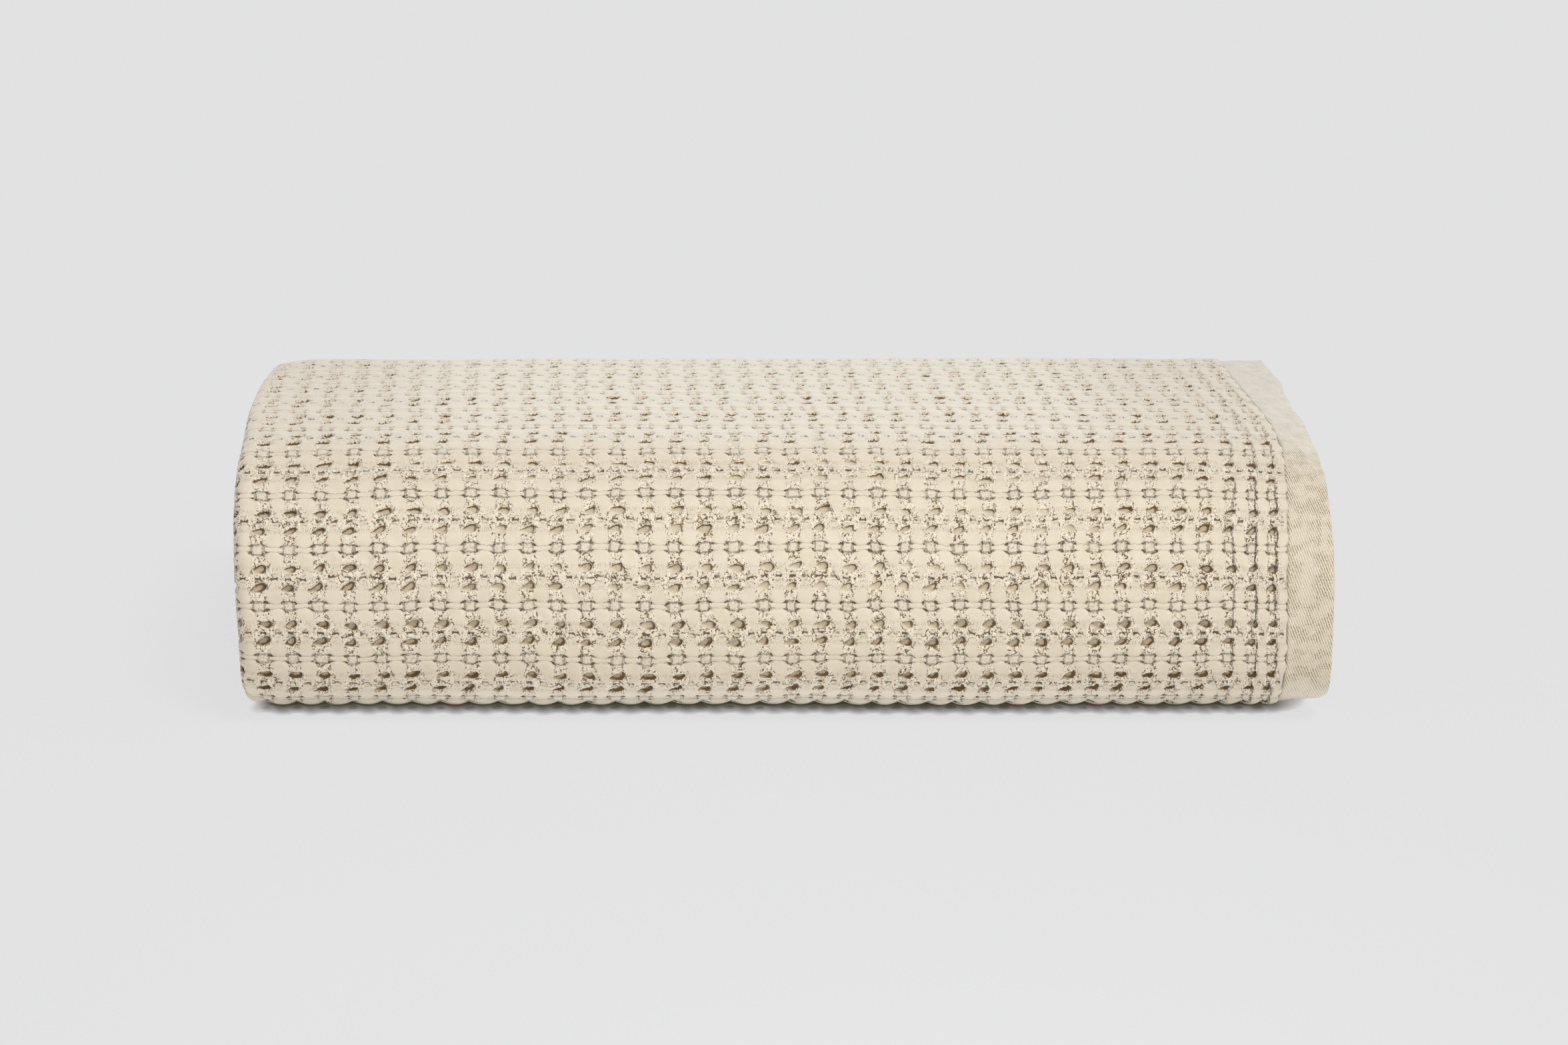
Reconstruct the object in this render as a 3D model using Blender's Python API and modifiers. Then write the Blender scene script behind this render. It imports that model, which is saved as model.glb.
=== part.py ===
"""Waffle weave cotton blanket, folded and laid down.

The blanket is one square sheet. It is folded twice across its width into a strip of
four plies, and the strip is folded over and over on itself into a flat roll, whose
front is a rounded nose and whose loose end lies underneath, at the back. The roll
stands on z = 0 with its middle on the z axis, its length along x and its front
towards -y. The hem is the sheet's own edge, turned over and pressed thinner.

All sizes are in metres.
"""

import math

import bmesh
import bpy
from mathutils import Vector

# The sheet
SHEET_THICKNESS = 0.0032
HEM_WIDTH = 0.024
HEM_THICKNESS_SHARE = 0.7
HEM_STEP = 0.0015  # the slope from the hem up to the full weave

# The strip, folded from the sheet's width
STRIP_WIDTH = 0.583
PLIES = 4
STRIP_PITCH = 0.0165  # one strip and the room round it
PLY_PITCH = STRIP_PITCH / PLIES
OUTER_PLY = (PLIES - 1) / 2 * PLY_PITCH  # from the strip's middle to its outer ply's
INNER_PLY = OUTER_PLY - PLY_PITCH

# The roll, folded from the strip's length
FLAT_LAYERS = 9
FLAT_RUN = 0.160  # from the middle of the front folds to the middle of the back ones
TAIL = 0.030  # how far the loose end runs on, under the back folds
LOWER_NOSE_SQUARENESS = 3.0  # 2 is a quarter circle; more sits fuller on the surface
ROUND_NOSE = 2.0

# How the roll has settled
LEVEL_SHARE = 0.08  # of the height, up to where the lowest plies stay flat
TOP_DOME = 0.0035
TOP_CROWN = 0.0012  # the middle stands a little above the two ends
BACK_DROP = 0.003
RIGHT_DRAW_IN = 0.020  # how far the hem leans in at the top, over the back folds
MOST_DRAW_IN = 1.15  # times that, at the very back
DRAW_IN_FROM = 0.3  # of the height
DRAW_IN_OVER = 0.6
CORNER_LIFT = 0.0045  # the hem's lower corner at the front stands off the surface
CORNER_REACH = 0.030
CORNER_HEIGHT = 0.6  # of the height
END_WANDER = 0.0015  # the layers' ends don't lie quite in one line
WANDER_LENGTH = 0.46
WANDER_START = 0.5

# Facets
NOSE_STEPS = 9  # the same for every fold of the strip, so that the layers stay parallel
FLAT_STEPS = 2
OUTER_TOP_STEPS = 4
INNER_COLUMNS = (-0.11, 0.11)  # in x, the same for every ply
LARGE_FOLD_STEPS = 4
SMALL_FOLD_STEPS = 3

OATMEAL = (0.78, 0.71, 0.60, 1.0)
CLOTH_ROUGHNESS = 0.92

TURNS = (FLAT_LAYERS - 1) // 2
OUTER_REACH = TURNS * STRIP_PITCH + OUTER_PLY + SHEET_THICKNESS / 2
ROLL_HEIGHT = 2 * OUTER_REACH


def clear_scene():
    """Remove every object of the scene."""
    for old in list(bpy.data.objects):
        bpy.data.objects.remove(old, do_unlink=True)


def make_material():
    """Return the cloth's plain material."""
    material = bpy.data.materials.new("waffle_cotton")
    material.use_nodes = True
    shader = material.node_tree.nodes["Principled BSDF"]
    shader.inputs["Base Color"].default_value = OATMEAL
    shader.inputs["Roughness"].default_value = CLOTH_ROUGHNESS
    shader.inputs["Metallic"].default_value = 0.0
    return material


def smooth_step(value):
    """Ease a value from 0 to 1, held at both ends."""
    held = min(1.0, max(0.0, value))
    return held * held * (3.0 - 2.0 * held)


def ply_run(start, end, offset):
    """Return the points of one ply, from x = start up to but not including end."""
    inner = sorted(INNER_COLUMNS, reverse=end < start)
    return [(start, offset)] + [(x, offset) for x in inner]


def edge_fold(centre, radius, side, offset, turn, steps):
    """Return the points of a fold at a strip's edge, from its first up to its last.

    centre is the fold's middle in x, side is -1 at the left and 1 at the right,
    offset is the height of the fold's middle, and turn is 1 where the fold goes up.
    """
    points = []
    for step in range(steps):
        angle = math.pi * step / steps
        x = centre + side * radius * math.sin(angle)
        points.append((x, offset - turn * radius * math.cos(angle)))
    return points


def folded_width():
    """Return the sheet's width as it lies folded: (x, height in the strip) pairs.

    It starts at the hem of the outer ply, at the right, and ends at the hem of the
    second ply. The outer and the fourth ply meet in the large fold at the left, the
    second and third in the small fold inside it, and the third and fourth at the right.
    """
    large, small = OUTER_PLY, INNER_PLY
    right = STRIP_WIDTH / 2
    left_bend = -right + large + SHEET_THICKNESS / 2
    right_bend = right - small - SHEET_THICKNESS / 2
    hem_line = right - HEM_WIDTH
    weave_line = hem_line - HEM_STEP
    points = [(right, large), (hem_line, large)]
    points += ply_run(weave_line, left_bend, large)
    points += edge_fold(left_bend, large, -1, 0.0, -1, LARGE_FOLD_STEPS)
    points += ply_run(left_bend, right_bend, -large)
    points += edge_fold(right_bend, small, 1, -PLY_PITCH, 1, SMALL_FOLD_STEPS)
    points += ply_run(right_bend, left_bend, -small)
    points += edge_fold(left_bend, small, -1, 0.0, 1, SMALL_FOLD_STEPS)
    points += ply_run(left_bend, weave_line, small)
    points += [(weave_line, small), (hem_line, small), (right, small)]
    return points


def nose_point(angle, radius, squareness):
    """Return a point of a fold and its outward normal, both from the fold's middle.

    angle runs from 0, straight out, to a quarter turn, straight up.
    """
    across, up = math.cos(angle), math.sin(angle)
    power = 2.0 / squareness
    point = (radius * across**power, radius * up**power)
    lean = 2.0 - power
    normal = Vector((across**lean, up**lean)).normalized()
    return point, (normal.x, normal.y)


def nose(middle_y, middle_z, radius, side):
    """Return the stations of one fold of the strip, without its two end stations.

    side is 1 at the back, where the strip climbs, and -1 at the front, where it drops.
    """
    stations = []
    for step in range(1, NOSE_STEPS):
        turn = side * (math.pi * step / NOSE_STEPS - math.pi / 2)
        height_sign = 1 if turn >= 0 else -1
        at_front_below = side < 0 and height_sign < 0
        squareness = LOWER_NOSE_SQUARENESS if at_front_below else ROUND_NOSE
        (out, up), (normal_out, normal_up) = nose_point(abs(turn), radius, squareness)
        stations.append(
            (
                middle_y + side * out,
                middle_z + height_sign * up,
                side * normal_out,
                height_sign * normal_up,
            )
        )
    return stations


def flat_layer(start_y, end_y, height, normal_z, steps):
    """Return the stations of one flat layer of the strip, both ends included."""
    step_length = (end_y - start_y) / steps
    return [(start_y + step * step_length, height, 0.0, normal_z) for step in range(steps + 1)]


def rolled_length():
    """Return the strip's middle line as stations (y, z, normal y, normal z).

    It starts at the core. Layer 0 runs back, and the strip then climbs over the back,
    runs forward above, drops round the front and runs back below, one layer further
    out each time. The normal points away from the core. y is 0 at the middle of the
    front folds, and z is 0 at layer 0.
    """
    stations = flat_layer(0.0, FLAT_RUN, 0.0, -1.0, FLAT_STEPS)
    for turn in range(1, TURNS + 1):
        top = turn * STRIP_PITCH
        top_steps = OUTER_TOP_STEPS if turn == TURNS else FLAT_STEPS
        stations += nose(FLAT_RUN, STRIP_PITCH / 2, top - STRIP_PITCH / 2, 1)
        stations += flat_layer(FLAT_RUN, 0.0, top, 1.0, top_steps)
        stations += nose(0.0, 0.0, top, -1)
        stations += flat_layer(0.0, FLAT_RUN, -top, -1.0, FLAT_STEPS)
    bottom = stations[-1][1]
    stations += [
        (FLAT_RUN + TAIL - HEM_WIDTH - HEM_STEP, bottom, 0.0, -1.0),
        (FLAT_RUN + TAIL - HEM_WIDTH, bottom, 0.0, -1.0),
        (FLAT_RUN + TAIL, bottom, 0.0, -1.0),
    ]
    return stations


def settle(x, y, z, along):
    """Return where a point of the roll lies once the roll has settled.

    z is the height over the surface, and along is the point's distance along the strip.
    """
    height = z / ROLL_HEIGHT
    free = max(0.0, height - LEVEL_SHARE) / (1.0 - LEVEL_SHARE)
    sideways = 2.0 * x / STRIP_WIDTH  # -1 at the left end, 1 at the right
    back = y / FLAT_RUN
    over_run = min(1.0, max(0.0, back))

    rise = TOP_DOME * 4.0 * over_run * (1.0 - over_run)
    rise -= TOP_CROWN * sideways**2 + BACK_DROP * smooth_step(back)

    from_nose = (y + OUTER_REACH / 2) / (FLAT_RUN + OUTER_REACH / 2)
    draw_in = RIGHT_DRAW_IN * min(MOST_DRAW_IN, max(0.0, from_nose))
    draw_in *= smooth_step((height - DRAW_IN_FROM) / DRAW_IN_OVER) * max(0.0, sideways)

    wander = END_WANDER * sideways
    wander *= math.sin(2.0 * math.pi * along / WANDER_LENGTH + WANDER_START)

    near_corner = smooth_step(1.0 - (STRIP_WIDTH / 2 - x) / CORNER_REACH)
    near_front = smooth_step(-y / OUTER_REACH)
    lift = CORNER_LIFT * near_corner * near_front * (1.0 - smooth_step(height / CORNER_HEIGHT))
    return (x - draw_in + wander, y, z + rise * free + lift)


def distances_along(stations):
    """Return each station's distance along the strip, from the core."""
    distances = [0.0]
    for before, after in zip(stations, stations[1:]):
        distances.append(distances[-1] + math.dist(before[:2], after[:2]))
    return distances


def lay_sheet(mesh_object, width_points, stations):
    """Move a flat grid's vertices to the places of the folded and rolled sheet."""
    distances = distances_along(stations)
    columns, rows = len(width_points), len(stations)
    thinner = mesh_object.vertex_groups.new(name="thickness")
    for vertex in mesh_object.data.vertices:
        column = round((vertex.co.x + 0.5) * (columns - 1))
        row = round((vertex.co.y + 0.5) * (rows - 1))
        x, offset = width_points[column]
        y, z, normal_y, normal_z = stations[row]
        height = z + offset * normal_z + OUTER_REACH
        vertex.co = settle(x, y + offset * normal_y, height, distances[row])
        at_side_hem = column <= 1 or column >= columns - 2
        at_end_hem = row >= rows - 2
        share = HEM_THICKNESS_SHARE if at_side_hem or at_end_hem else 1.0
        thinner.add([vertex.index], share, "REPLACE")


def make_blanket(collection, material):
    """Model the blanket as one closed solid and return its object."""
    width_points = folded_width()
    stations = rolled_length()
    mesh = bpy.data.meshes.new("blanket")
    blanket = bpy.data.objects.new("blanket", mesh)
    collection.objects.link(blanket)
    sheet = bmesh.new()
    bmesh.ops.create_grid(
        sheet, x_segments=len(width_points) - 1, y_segments=len(stations) - 1, size=0.5
    )
    sheet.to_mesh(mesh)
    sheet.free()
    mesh.materials.append(material)
    lay_sheet(blanket, width_points, stations)
    thickness = blanket.modifiers.new("thickness", "SOLIDIFY")
    thickness.thickness = SHEET_THICKNESS
    thickness.offset = 0.0
    thickness.vertex_group = "thickness"
    mesh.shade_smooth()
    return blanket


def stand_in_the_middle(blanket):
    """Move the blanket so that its box stands on z = 0, over the origin."""
    bpy.context.view_layer.update()
    solid = blanket.evaluated_get(bpy.context.evaluated_depsgraph_get())
    corners = [Vector(corner) for corner in solid.bound_box]
    lowest = Vector(min(corner[axis] for corner in corners) for axis in range(3))
    highest = Vector(max(corner[axis] for corner in corners) for axis in range(3))
    middle = (lowest + highest) / 2
    blanket.location = (-middle.x, -middle.y, -lowest.z)


def main():
    """Build the blanket in a collection of its own."""
    clear_scene()
    collection = bpy.data.collections.new("waffle_blanket")
    bpy.context.scene.collection.children.link(collection)
    blanket = make_blanket(collection, make_material())
    stand_in_the_middle(blanket)


main()
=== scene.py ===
"""Looks of a waffle weave cotton blanket, folded in four and rolled flat.

The blanket's outer turn is a sheet with every cell of the weave raised in its mesh.
The strip's folds at the left end, its hems and folds at the right end and the hem of
its loose end are sheets of their own, on the same rolled line as the solid.
"""

import logging
import math
from dataclasses import dataclass, field, fields, replace
from enum import Enum

import bpy
import numpy as np
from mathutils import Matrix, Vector


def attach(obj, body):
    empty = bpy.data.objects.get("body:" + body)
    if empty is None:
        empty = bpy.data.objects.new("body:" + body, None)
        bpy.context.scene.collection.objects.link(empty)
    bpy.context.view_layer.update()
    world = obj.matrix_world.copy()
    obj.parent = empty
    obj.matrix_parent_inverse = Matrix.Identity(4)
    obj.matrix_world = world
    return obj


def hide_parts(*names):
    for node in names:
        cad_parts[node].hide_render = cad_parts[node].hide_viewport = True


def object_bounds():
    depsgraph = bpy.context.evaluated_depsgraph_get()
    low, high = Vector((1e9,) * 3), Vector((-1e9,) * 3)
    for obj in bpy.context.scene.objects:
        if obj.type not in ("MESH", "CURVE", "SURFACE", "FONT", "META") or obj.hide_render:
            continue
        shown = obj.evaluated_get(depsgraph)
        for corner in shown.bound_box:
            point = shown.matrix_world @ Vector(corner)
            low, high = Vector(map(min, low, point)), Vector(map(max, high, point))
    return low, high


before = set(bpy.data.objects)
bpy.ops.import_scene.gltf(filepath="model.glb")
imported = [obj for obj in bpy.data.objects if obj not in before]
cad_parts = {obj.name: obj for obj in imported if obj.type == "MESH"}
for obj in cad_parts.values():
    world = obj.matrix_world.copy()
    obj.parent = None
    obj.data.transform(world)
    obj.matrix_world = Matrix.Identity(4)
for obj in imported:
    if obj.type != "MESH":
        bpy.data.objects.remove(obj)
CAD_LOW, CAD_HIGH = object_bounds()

logging.basicConfig(level=logging.INFO, format="%(name)s: %(message)s")
LOG = logging.getLogger("blanket")

BODY = "root"
NODE = "blanket"
MM = 0.001

Pair = tuple[float, float]
Triple = tuple[float, float, float]
Socket, Node, NodeTree = bpy.types.NodeSocket, bpy.types.Node, bpy.types.NodeTree
Material = bpy.types.Material

CELL_WIDTH, CELL_LENGTH = 15.2, 31.6  # one repeat of the weave, in millimetres
FOLD_LINES = (0.0, 2.4, 6.2, 9.2, 12.4, 15.8)  # grid lines of half a repeat inside the roll
INNER_HEM_SHORTER = 0.018  # how far before the last back fold the inner hem ends


def smooth_step(value: np.ndarray) -> np.ndarray:
    """Ease values from 0 to 1, held at both ends."""
    held = np.clip(value, 0.0, 1.0)
    return held * held * (3.0 - 2.0 * held)


def eased_table(
    places: np.ndarray, values: np.ndarray, count: int = 400, reach: int = 25
) -> tuple[np.ndarray, np.ndarray]:
    """Return a dense table through the given values, with its corners rounded.

    Args:
        places: where the values are known, in rising order.
        values: the known values.
        count: how many entries the table has.
        reach: over how many entries each corner is rounded, an odd number.

    Returns:
        The table's places and its values.
    """
    dense = np.linspace(places[0], places[-1], count)
    straight = np.interp(dense, places, values)
    window = np.hanning(reach)
    padded = np.pad(straight, reach // 2, mode="edge")
    return dense, np.convolve(padded, window / window.sum(), mode="valid")


class SoftNoise:
    """Smooth random values between -1 and 1 over a plane, the same on each run."""

    def __init__(self, seed: int, size: int = 128) -> None:
        """Draw the lattice.

        Args:
            seed: starts the random draws.
            size: how many lattice points there are each way before it repeats.
        """
        self.size = size
        self.lattice = np.random.default_rng(seed).uniform(-1.0, 1.0, (size, size))

    def at(self, across: np.ndarray, along: np.ndarray) -> np.ndarray:
        """Read the noise at places given in lattice steps.

        Args:
            across: places in the first direction.
            along: places in the second direction.

        Returns:
            The values, between -1 and 1.
        """
        across, along = np.broadcast_arrays(across, along)
        left, low = np.floor(across).astype(int), np.floor(along).astype(int)
        mix_across = smooth_step(across - left)
        mix_along = smooth_step(along - low)
        left, low = left % self.size, low % self.size
        right, high = (left + 1) % self.size, (low + 1) % self.size
        lower = self.lattice[left, low] * (1 - mix_across) + self.lattice[right, low] * mix_across
        upper = self.lattice[left, high] * (1 - mix_across) + self.lattice[right, high] * mix_across
        return lower * (1 - mix_along) + upper * mix_along

    def of_cell(self, across: np.ndarray, along: np.ndarray, draw: int) -> np.ndarray:
        """Read one random value for each whole cell.

        Args:
            across: whole cell numbers in the first direction.
            along: whole cell numbers in the second direction.
            draw: which of the cell's several values is read.

        Returns:
            The values, between -1 and 1.
        """
        first = (np.asarray(across).astype(int) + 17 * draw) % self.size
        second = (np.asarray(along).astype(int) + 29 * draw) % self.size
        return self.lattice[first, second]


@dataclass
class RollLine:
    """The middle line of the folded strip, from the roll's core to its loose end.

    y is 0 at the middle of the front folds and z is 0 at the surface the roll lies on.
    """

    flat_run: float = 0.160
    strip_pitch: float = 0.0165
    plies: int = 4
    turns: int = 4
    tail: float = 0.030
    sheet_thickness: float = 0.0032
    lower_squareness: float = 3.0
    fold_points: int = 90
    run_points: int = 24

    def __post_init__(self) -> None:
        """Work out the line's points and outward normals."""
        self.ply_pitch = self.strip_pitch / self.plies
        self.outer_ply = (self.plies - 1) / 2 * self.ply_pitch
        self.inner_ply = self.ply_pitch / 2
        self.face = self.outer_ply + self.sheet_thickness / 2
        self.front_reach = self.turns * self.strip_pitch + self.face
        self.back_reach = (self.turns - 0.5) * self.strip_pitch + self.face
        self.height = 2 * self.front_reach
        self.shift = (CAD_LOW.y + CAD_HIGH.y) / 2 - (self.flat_run + self.back_reach - self.front_reach) / 2
        parts = [self.run(0.0, self.flat_run, 0.0, -1.0)]
        for turn in range(1, self.turns + 1):
            top = turn * self.strip_pitch
            parts.append(self.back_fold(top - self.strip_pitch / 2))
            parts.append(self.run(self.flat_run, 0.0, top, 1.0))
            parts.append(self.front_fold(top))
            parts.append(self.run(0.0, self.flat_run, -top, -1.0))
        bottom = -self.turns * self.strip_pitch
        parts.append(self.run(self.flat_run, self.flat_run + self.tail, bottom, -1.0))
        counts = [part.shape[1] - 1 for part in parts]
        joined = np.concatenate([part[:, :-1] for part in parts] + [parts[-1][:, -1:]], axis=1)
        self.y, self.z, self.normal_y, self.normal_z = joined
        self.z = self.z + self.front_reach
        self.under_front = sum(counts[:-2])  # the station where the front fold meets the last run
        self.last_climb = sum(counts[:-5])  # the station where the last back fold begins

    def run(self, start: float, end: float, height: float, normal_z: float) -> np.ndarray:
        """Return a flat run's stations as rows of y, z, normal y and normal z."""
        y = np.linspace(start, end, self.run_points)
        return np.stack([y, np.full_like(y, height), np.zeros_like(y), np.full_like(y, normal_z)])

    def back_fold(self, radius: float) -> np.ndarray:
        """Return the stations of a fold at the back, where the strip climbs."""
        turn = np.linspace(-math.pi / 2, math.pi / 2, self.fold_points)
        out, up = np.cos(turn), np.sin(turn)
        return np.stack([self.flat_run + radius * out, self.strip_pitch / 2 + radius * up, out, up])

    def front_fold(self, radius: float) -> np.ndarray:
        """Return the stations of a fold at the front, fuller below than above."""
        turn = np.linspace(math.pi / 2, -math.pi / 2, self.fold_points)
        power = np.where(turn < 0, 2.0 / self.lower_squareness, 1.0)
        out, up = np.abs(np.cos(turn)), np.abs(np.sin(turn))
        side = np.sign(turn)
        normal_out, normal_up = out ** (2.0 - power), side * up ** (2.0 - power)
        size = np.hypot(normal_out, normal_up)
        place_out, place_up = radius * out**power, side * radius * up**power
        return np.stack([-place_out, place_up, -normal_out / size, normal_up / size])

    def lengths(self, offset: float) -> np.ndarray:
        """Return each station's distance from the core, along a line offset outwards."""
        y, z = self.y + offset * self.normal_y, self.z + offset * self.normal_z
        steps = np.hypot(np.diff(y), np.diff(z))
        return np.concatenate([[0.0], np.cumsum(steps)])

    def stations_at(self, distances: np.ndarray, offset: float) -> np.ndarray:
        """Return the stations, as fractions, at distances along an offset line."""
        return np.interp(distances, self.lengths(offset), np.arange(self.y.size))

    def sample(self, stations: np.ndarray) -> tuple[np.ndarray, ...]:
        """Return y, z, normal y and normal z at stations given as fractions."""
        index = np.arange(self.y.size)
        rows = (self.y, self.z, self.normal_y, self.normal_z)
        return tuple(np.interp(stations, index, row) for row in rows)


@dataclass
class Settling:
    """How the roll has settled under its own weight."""

    width: float = 0.583
    dome: float = 0.0035
    crown: float = 0.0012
    back_drop: float = 0.003
    draw_in: float = 0.020
    corner_drop: float = 0.003
    corner_reach: float = 0.022
    front_corner_lift: float = 0.0018

    def apply(self, line: RollLine, x: np.ndarray, y: np.ndarray, z: np.ndarray) -> np.ndarray:
        """Return the settled places in the frame's own axes.

        Args:
            line: the roll's line.
            x: places along the roll.
            y: places from the middle of the front folds, backwards.
            z: heights.

        Returns:
            An array of places, x, y and z last.
        """
        x, y, z = np.broadcast_arrays(x, y, z)
        height = np.clip((z / line.height - 0.08) / 0.92, 0.0, 1.2)
        over_run = np.clip(y / line.flat_run, 0.0, 1.0)
        rise = self.dome * 4.0 * over_run * (1.0 - over_run) - self.crown * (2.0 * x / self.width) ** 2
        rise = rise - self.back_drop * smooth_step(y / line.flat_run)
        left = smooth_step((-x - self.width / 2 + self.corner_reach) / self.corner_reach)
        back = smooth_step((y - 0.10) / 0.12)
        rise = rise - self.corner_drop * left * back
        front = smooth_step(-y / line.front_reach)
        lift = self.front_corner_lift * left * front * (1.0 - smooth_step(z / line.height * 2.0))
        settled = np.maximum(z + rise * height + lift, 0.2 * MM)
        return np.stack([x, y + line.shift, settled], axis=-1)

    def right_edge(self, line: RollLine, y: np.ndarray, z: np.ndarray) -> np.ndarray:
        """Return x of the strip's right edge, which is drawn in towards the top and back."""
        reach = line.front_reach
        from_nose = np.clip((y + reach / 2) / (line.flat_run + reach / 2), 0.0, 1.15)
        return self.width / 2 - self.draw_in * from_nose * smooth_step((z / line.height - 0.3) / 0.6)


@dataclass(frozen=True)
class EdgeStation:
    """Where the outer turn's edges lie at one height of its climb, in millimetres."""

    climb: float
    left: float  # x of the left fold's outermost face
    line: float  # x of the line where the weave meets the hem
    edge: float  # x of the hem's outer edge


EDGE_STATIONS = (
    EdgeStation(-170, -290.0, 266.0, 289.0),
    EdgeStation(0, -284.0, 263.0, 272.0),
    EdgeStation(35, -290.5, 266.5, 289.0),
    EdgeStation(45, -293.4, 268.0, 293.2),
    EdgeStation(55, -294.4, 268.8, 294.8),
    EdgeStation(65, -294.2, 269.2, 295.0),
    EdgeStation(78, -293.6, 269.6, 295.0),
    EdgeStation(97, -293.2, 270.0, 294.8),
    EdgeStation(133, -294.6, 268.8, 294.6),
    EdgeStation(180, -295.6, 269.8, 292.8),
    EdgeStation(209, -295.4, 269.6, 291.2),
    EdgeStation(232, -294.8, 268.6, 288.8),
    EdgeStation(258, -296.0, 266.5, 286.8),
    EdgeStation(294, -297.5, 260.7, 283.8),
    EdgeStation(351, -297.5, 254.6, 279.6),
    EdgeStation(412, -295.5, 250.6, 276.4),
    EdgeStation(500, -290.0, 254.0, 278.0),
    EdgeStation(640, -291.0, 262.0, 285.0),
)

ROW_CLIMBS = (55.0, 89.0, 120.2, 152.0, 183.0, 214.0, 247.0, 279.0, 311.5, 343.5, 374.5, 406.0)
COLUMN_PLACES = {0.25: 0.0, 1: 8.0, 2: 18.7, 3: 31.2, 4: 45.2, 10: 131.4, 20: 280.7, 30: 438.2, 37: 549.5}


@dataclass
class OuterCloth:
    """The outer turn's ply: how its own width and length lie on the roll.

    columns count from the hem to the left, and rows up the front from the row of knots
    nearest to the surface. The climb is the distance up the front and over the top,
    from where the front fold leaves the surface. The first columns are gathered by the
    hem, and the cloth is a little narrower over the top than up the front.
    """

    line: RollLine = field(default_factory=RollLine)
    settling: Settling = field(default_factory=Settling)
    row_pitch: float = 0.0316
    hem_pitch: float = 0.0139
    far_pitch: float = 0.0159
    narrowing: float = 0.017
    narrowed_from: float = 0.21
    narrowed_over: float = 0.20
    undulation: float = 0.0007
    overlap: float = 0.022

    def __post_init__(self) -> None:
        """Prepare the tables that the lookups use."""
        self.face_lengths = self.line.lengths(self.line.face)
        self.under_front = self.face_lengths[self.line.under_front]
        self.first_length = self.face_lengths[self.line.last_climb] - self.overlap
        self.bulge = SoftNoise(11)
        self.drift = SoftNoise(12)
        climbs = np.array([s.climb for s in EDGE_STATIONS]) * MM
        tables = [
            eased_table(climbs, np.array([getattr(s, side) for s in EDGE_STATIONS]) * MM)
            for side in ("line", "edge", "left")
        ]
        self.climbs = tables[0][0]
        self.lines, self.edges, self.lefts = (table[1] for table in tables)
        known = np.array(ROW_CLIMBS) * MM
        before = known[0] - self.row_pitch * np.arange(12, 0, -1)
        after = known[-1] + self.row_pitch * np.arange(1, 13)
        self.rows = np.arange(-12, known.size + 12)
        self.row_climbs = np.concatenate([before, known, after])
        columns, distances = np.array(list(COLUMN_PLACES)), np.array(list(COLUMN_PLACES.values())) * MM
        self.first_column = columns[0]
        beyond = np.arange(1, 10)
        self.columns = np.concatenate([[columns[0] - 1.0], columns, columns[-1] + beyond])
        self.distances = np.concatenate([[-0.0107], distances, distances[-1] + beyond * self.far_pitch])

    def climb_of(self, rows: np.ndarray) -> np.ndarray:
        """Return the climb of each row of the weave."""
        return np.interp(rows, self.rows, self.row_climbs)

    def row_of(self, climb: float) -> float:
        """Return the row at a climb."""
        return float(np.interp(climb, self.row_climbs, self.rows))

    def hem_line(self, climb: np.ndarray) -> np.ndarray:
        """Return x of the hem line at a climb."""
        return np.interp(climb, self.climbs, self.lines)

    def hem_edge(self, climb: np.ndarray) -> np.ndarray:
        """Return x of the hem's edge at a climb."""
        return np.interp(climb, self.climbs, self.edges)

    def left_bend(self, climb: np.ndarray) -> np.ndarray:
        """Return x where the fold at the left begins, at a climb."""
        return np.interp(climb, self.climbs, self.lefts) + self.line.face

    def stations_of(self, climb: np.ndarray) -> np.ndarray:
        """Return the roll line's stations at a climb."""
        return self.line.stations_at(self.under_front - climb, self.line.face)

    def width_of(self, columns: np.ndarray) -> np.ndarray:
        """Return the distance from the hem line of each column."""
        return np.interp(columns, self.columns, self.distances)

    def column_of(self, distance: float) -> float:
        """Return the column at a distance from the hem line."""
        return float(np.interp(distance, self.distances, self.columns))

    def place(self, columns: np.ndarray, rows: np.ndarray, relief: np.ndarray) -> np.ndarray:
        """Return the places of points of the cloth.

        Args:
            columns: the points' columns.
            rows: the points' rows.
            relief: how far each point stands out of the cloth's face, in metres.

        Returns:
            An array of places, x, y and z last.
        """
        noise = self.drift
        wander_across = 0.065 * noise.at(columns * 1.7, rows * 1.9)
        wander_across = wander_across + 0.09 * noise.at(columns / 5, rows / 3)
        wander_along = 0.028 * noise.at(columns * 1.3 + 40, rows * 1.6)
        wander_along = wander_along + 0.03 * noise.at(columns / 6 + 40, rows / 4)
        climb = self.climb_of(rows + wander_along)
        inside = smooth_step((columns - self.first_column) / 1.5)
        distance = self.width_of(columns + wander_across * inside)
        narrower = self.narrowing * smooth_step((climb - self.narrowed_from) / self.narrowed_over)
        distance = distance * (1.0 - narrower)
        bend = self.left_bend(climb)
        past_bend = distance - (self.hem_line(climb) - bend)
        return self.on_strip(bend, past_bend, self.stations_of(climb), relief + self.bulges(columns, rows))

    def bulges(self, columns: np.ndarray, rows: np.ndarray) -> np.ndarray:
        """Return the cloth's soft unevenness, in metres."""
        wide = self.bulge.at(columns / 4.5, rows / 2.2)
        narrow = self.bulge.at(columns / 1.6 + 50, rows / 1.1 + 50)
        return self.undulation * (0.7 * wide + 0.3 * narrow)

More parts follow.
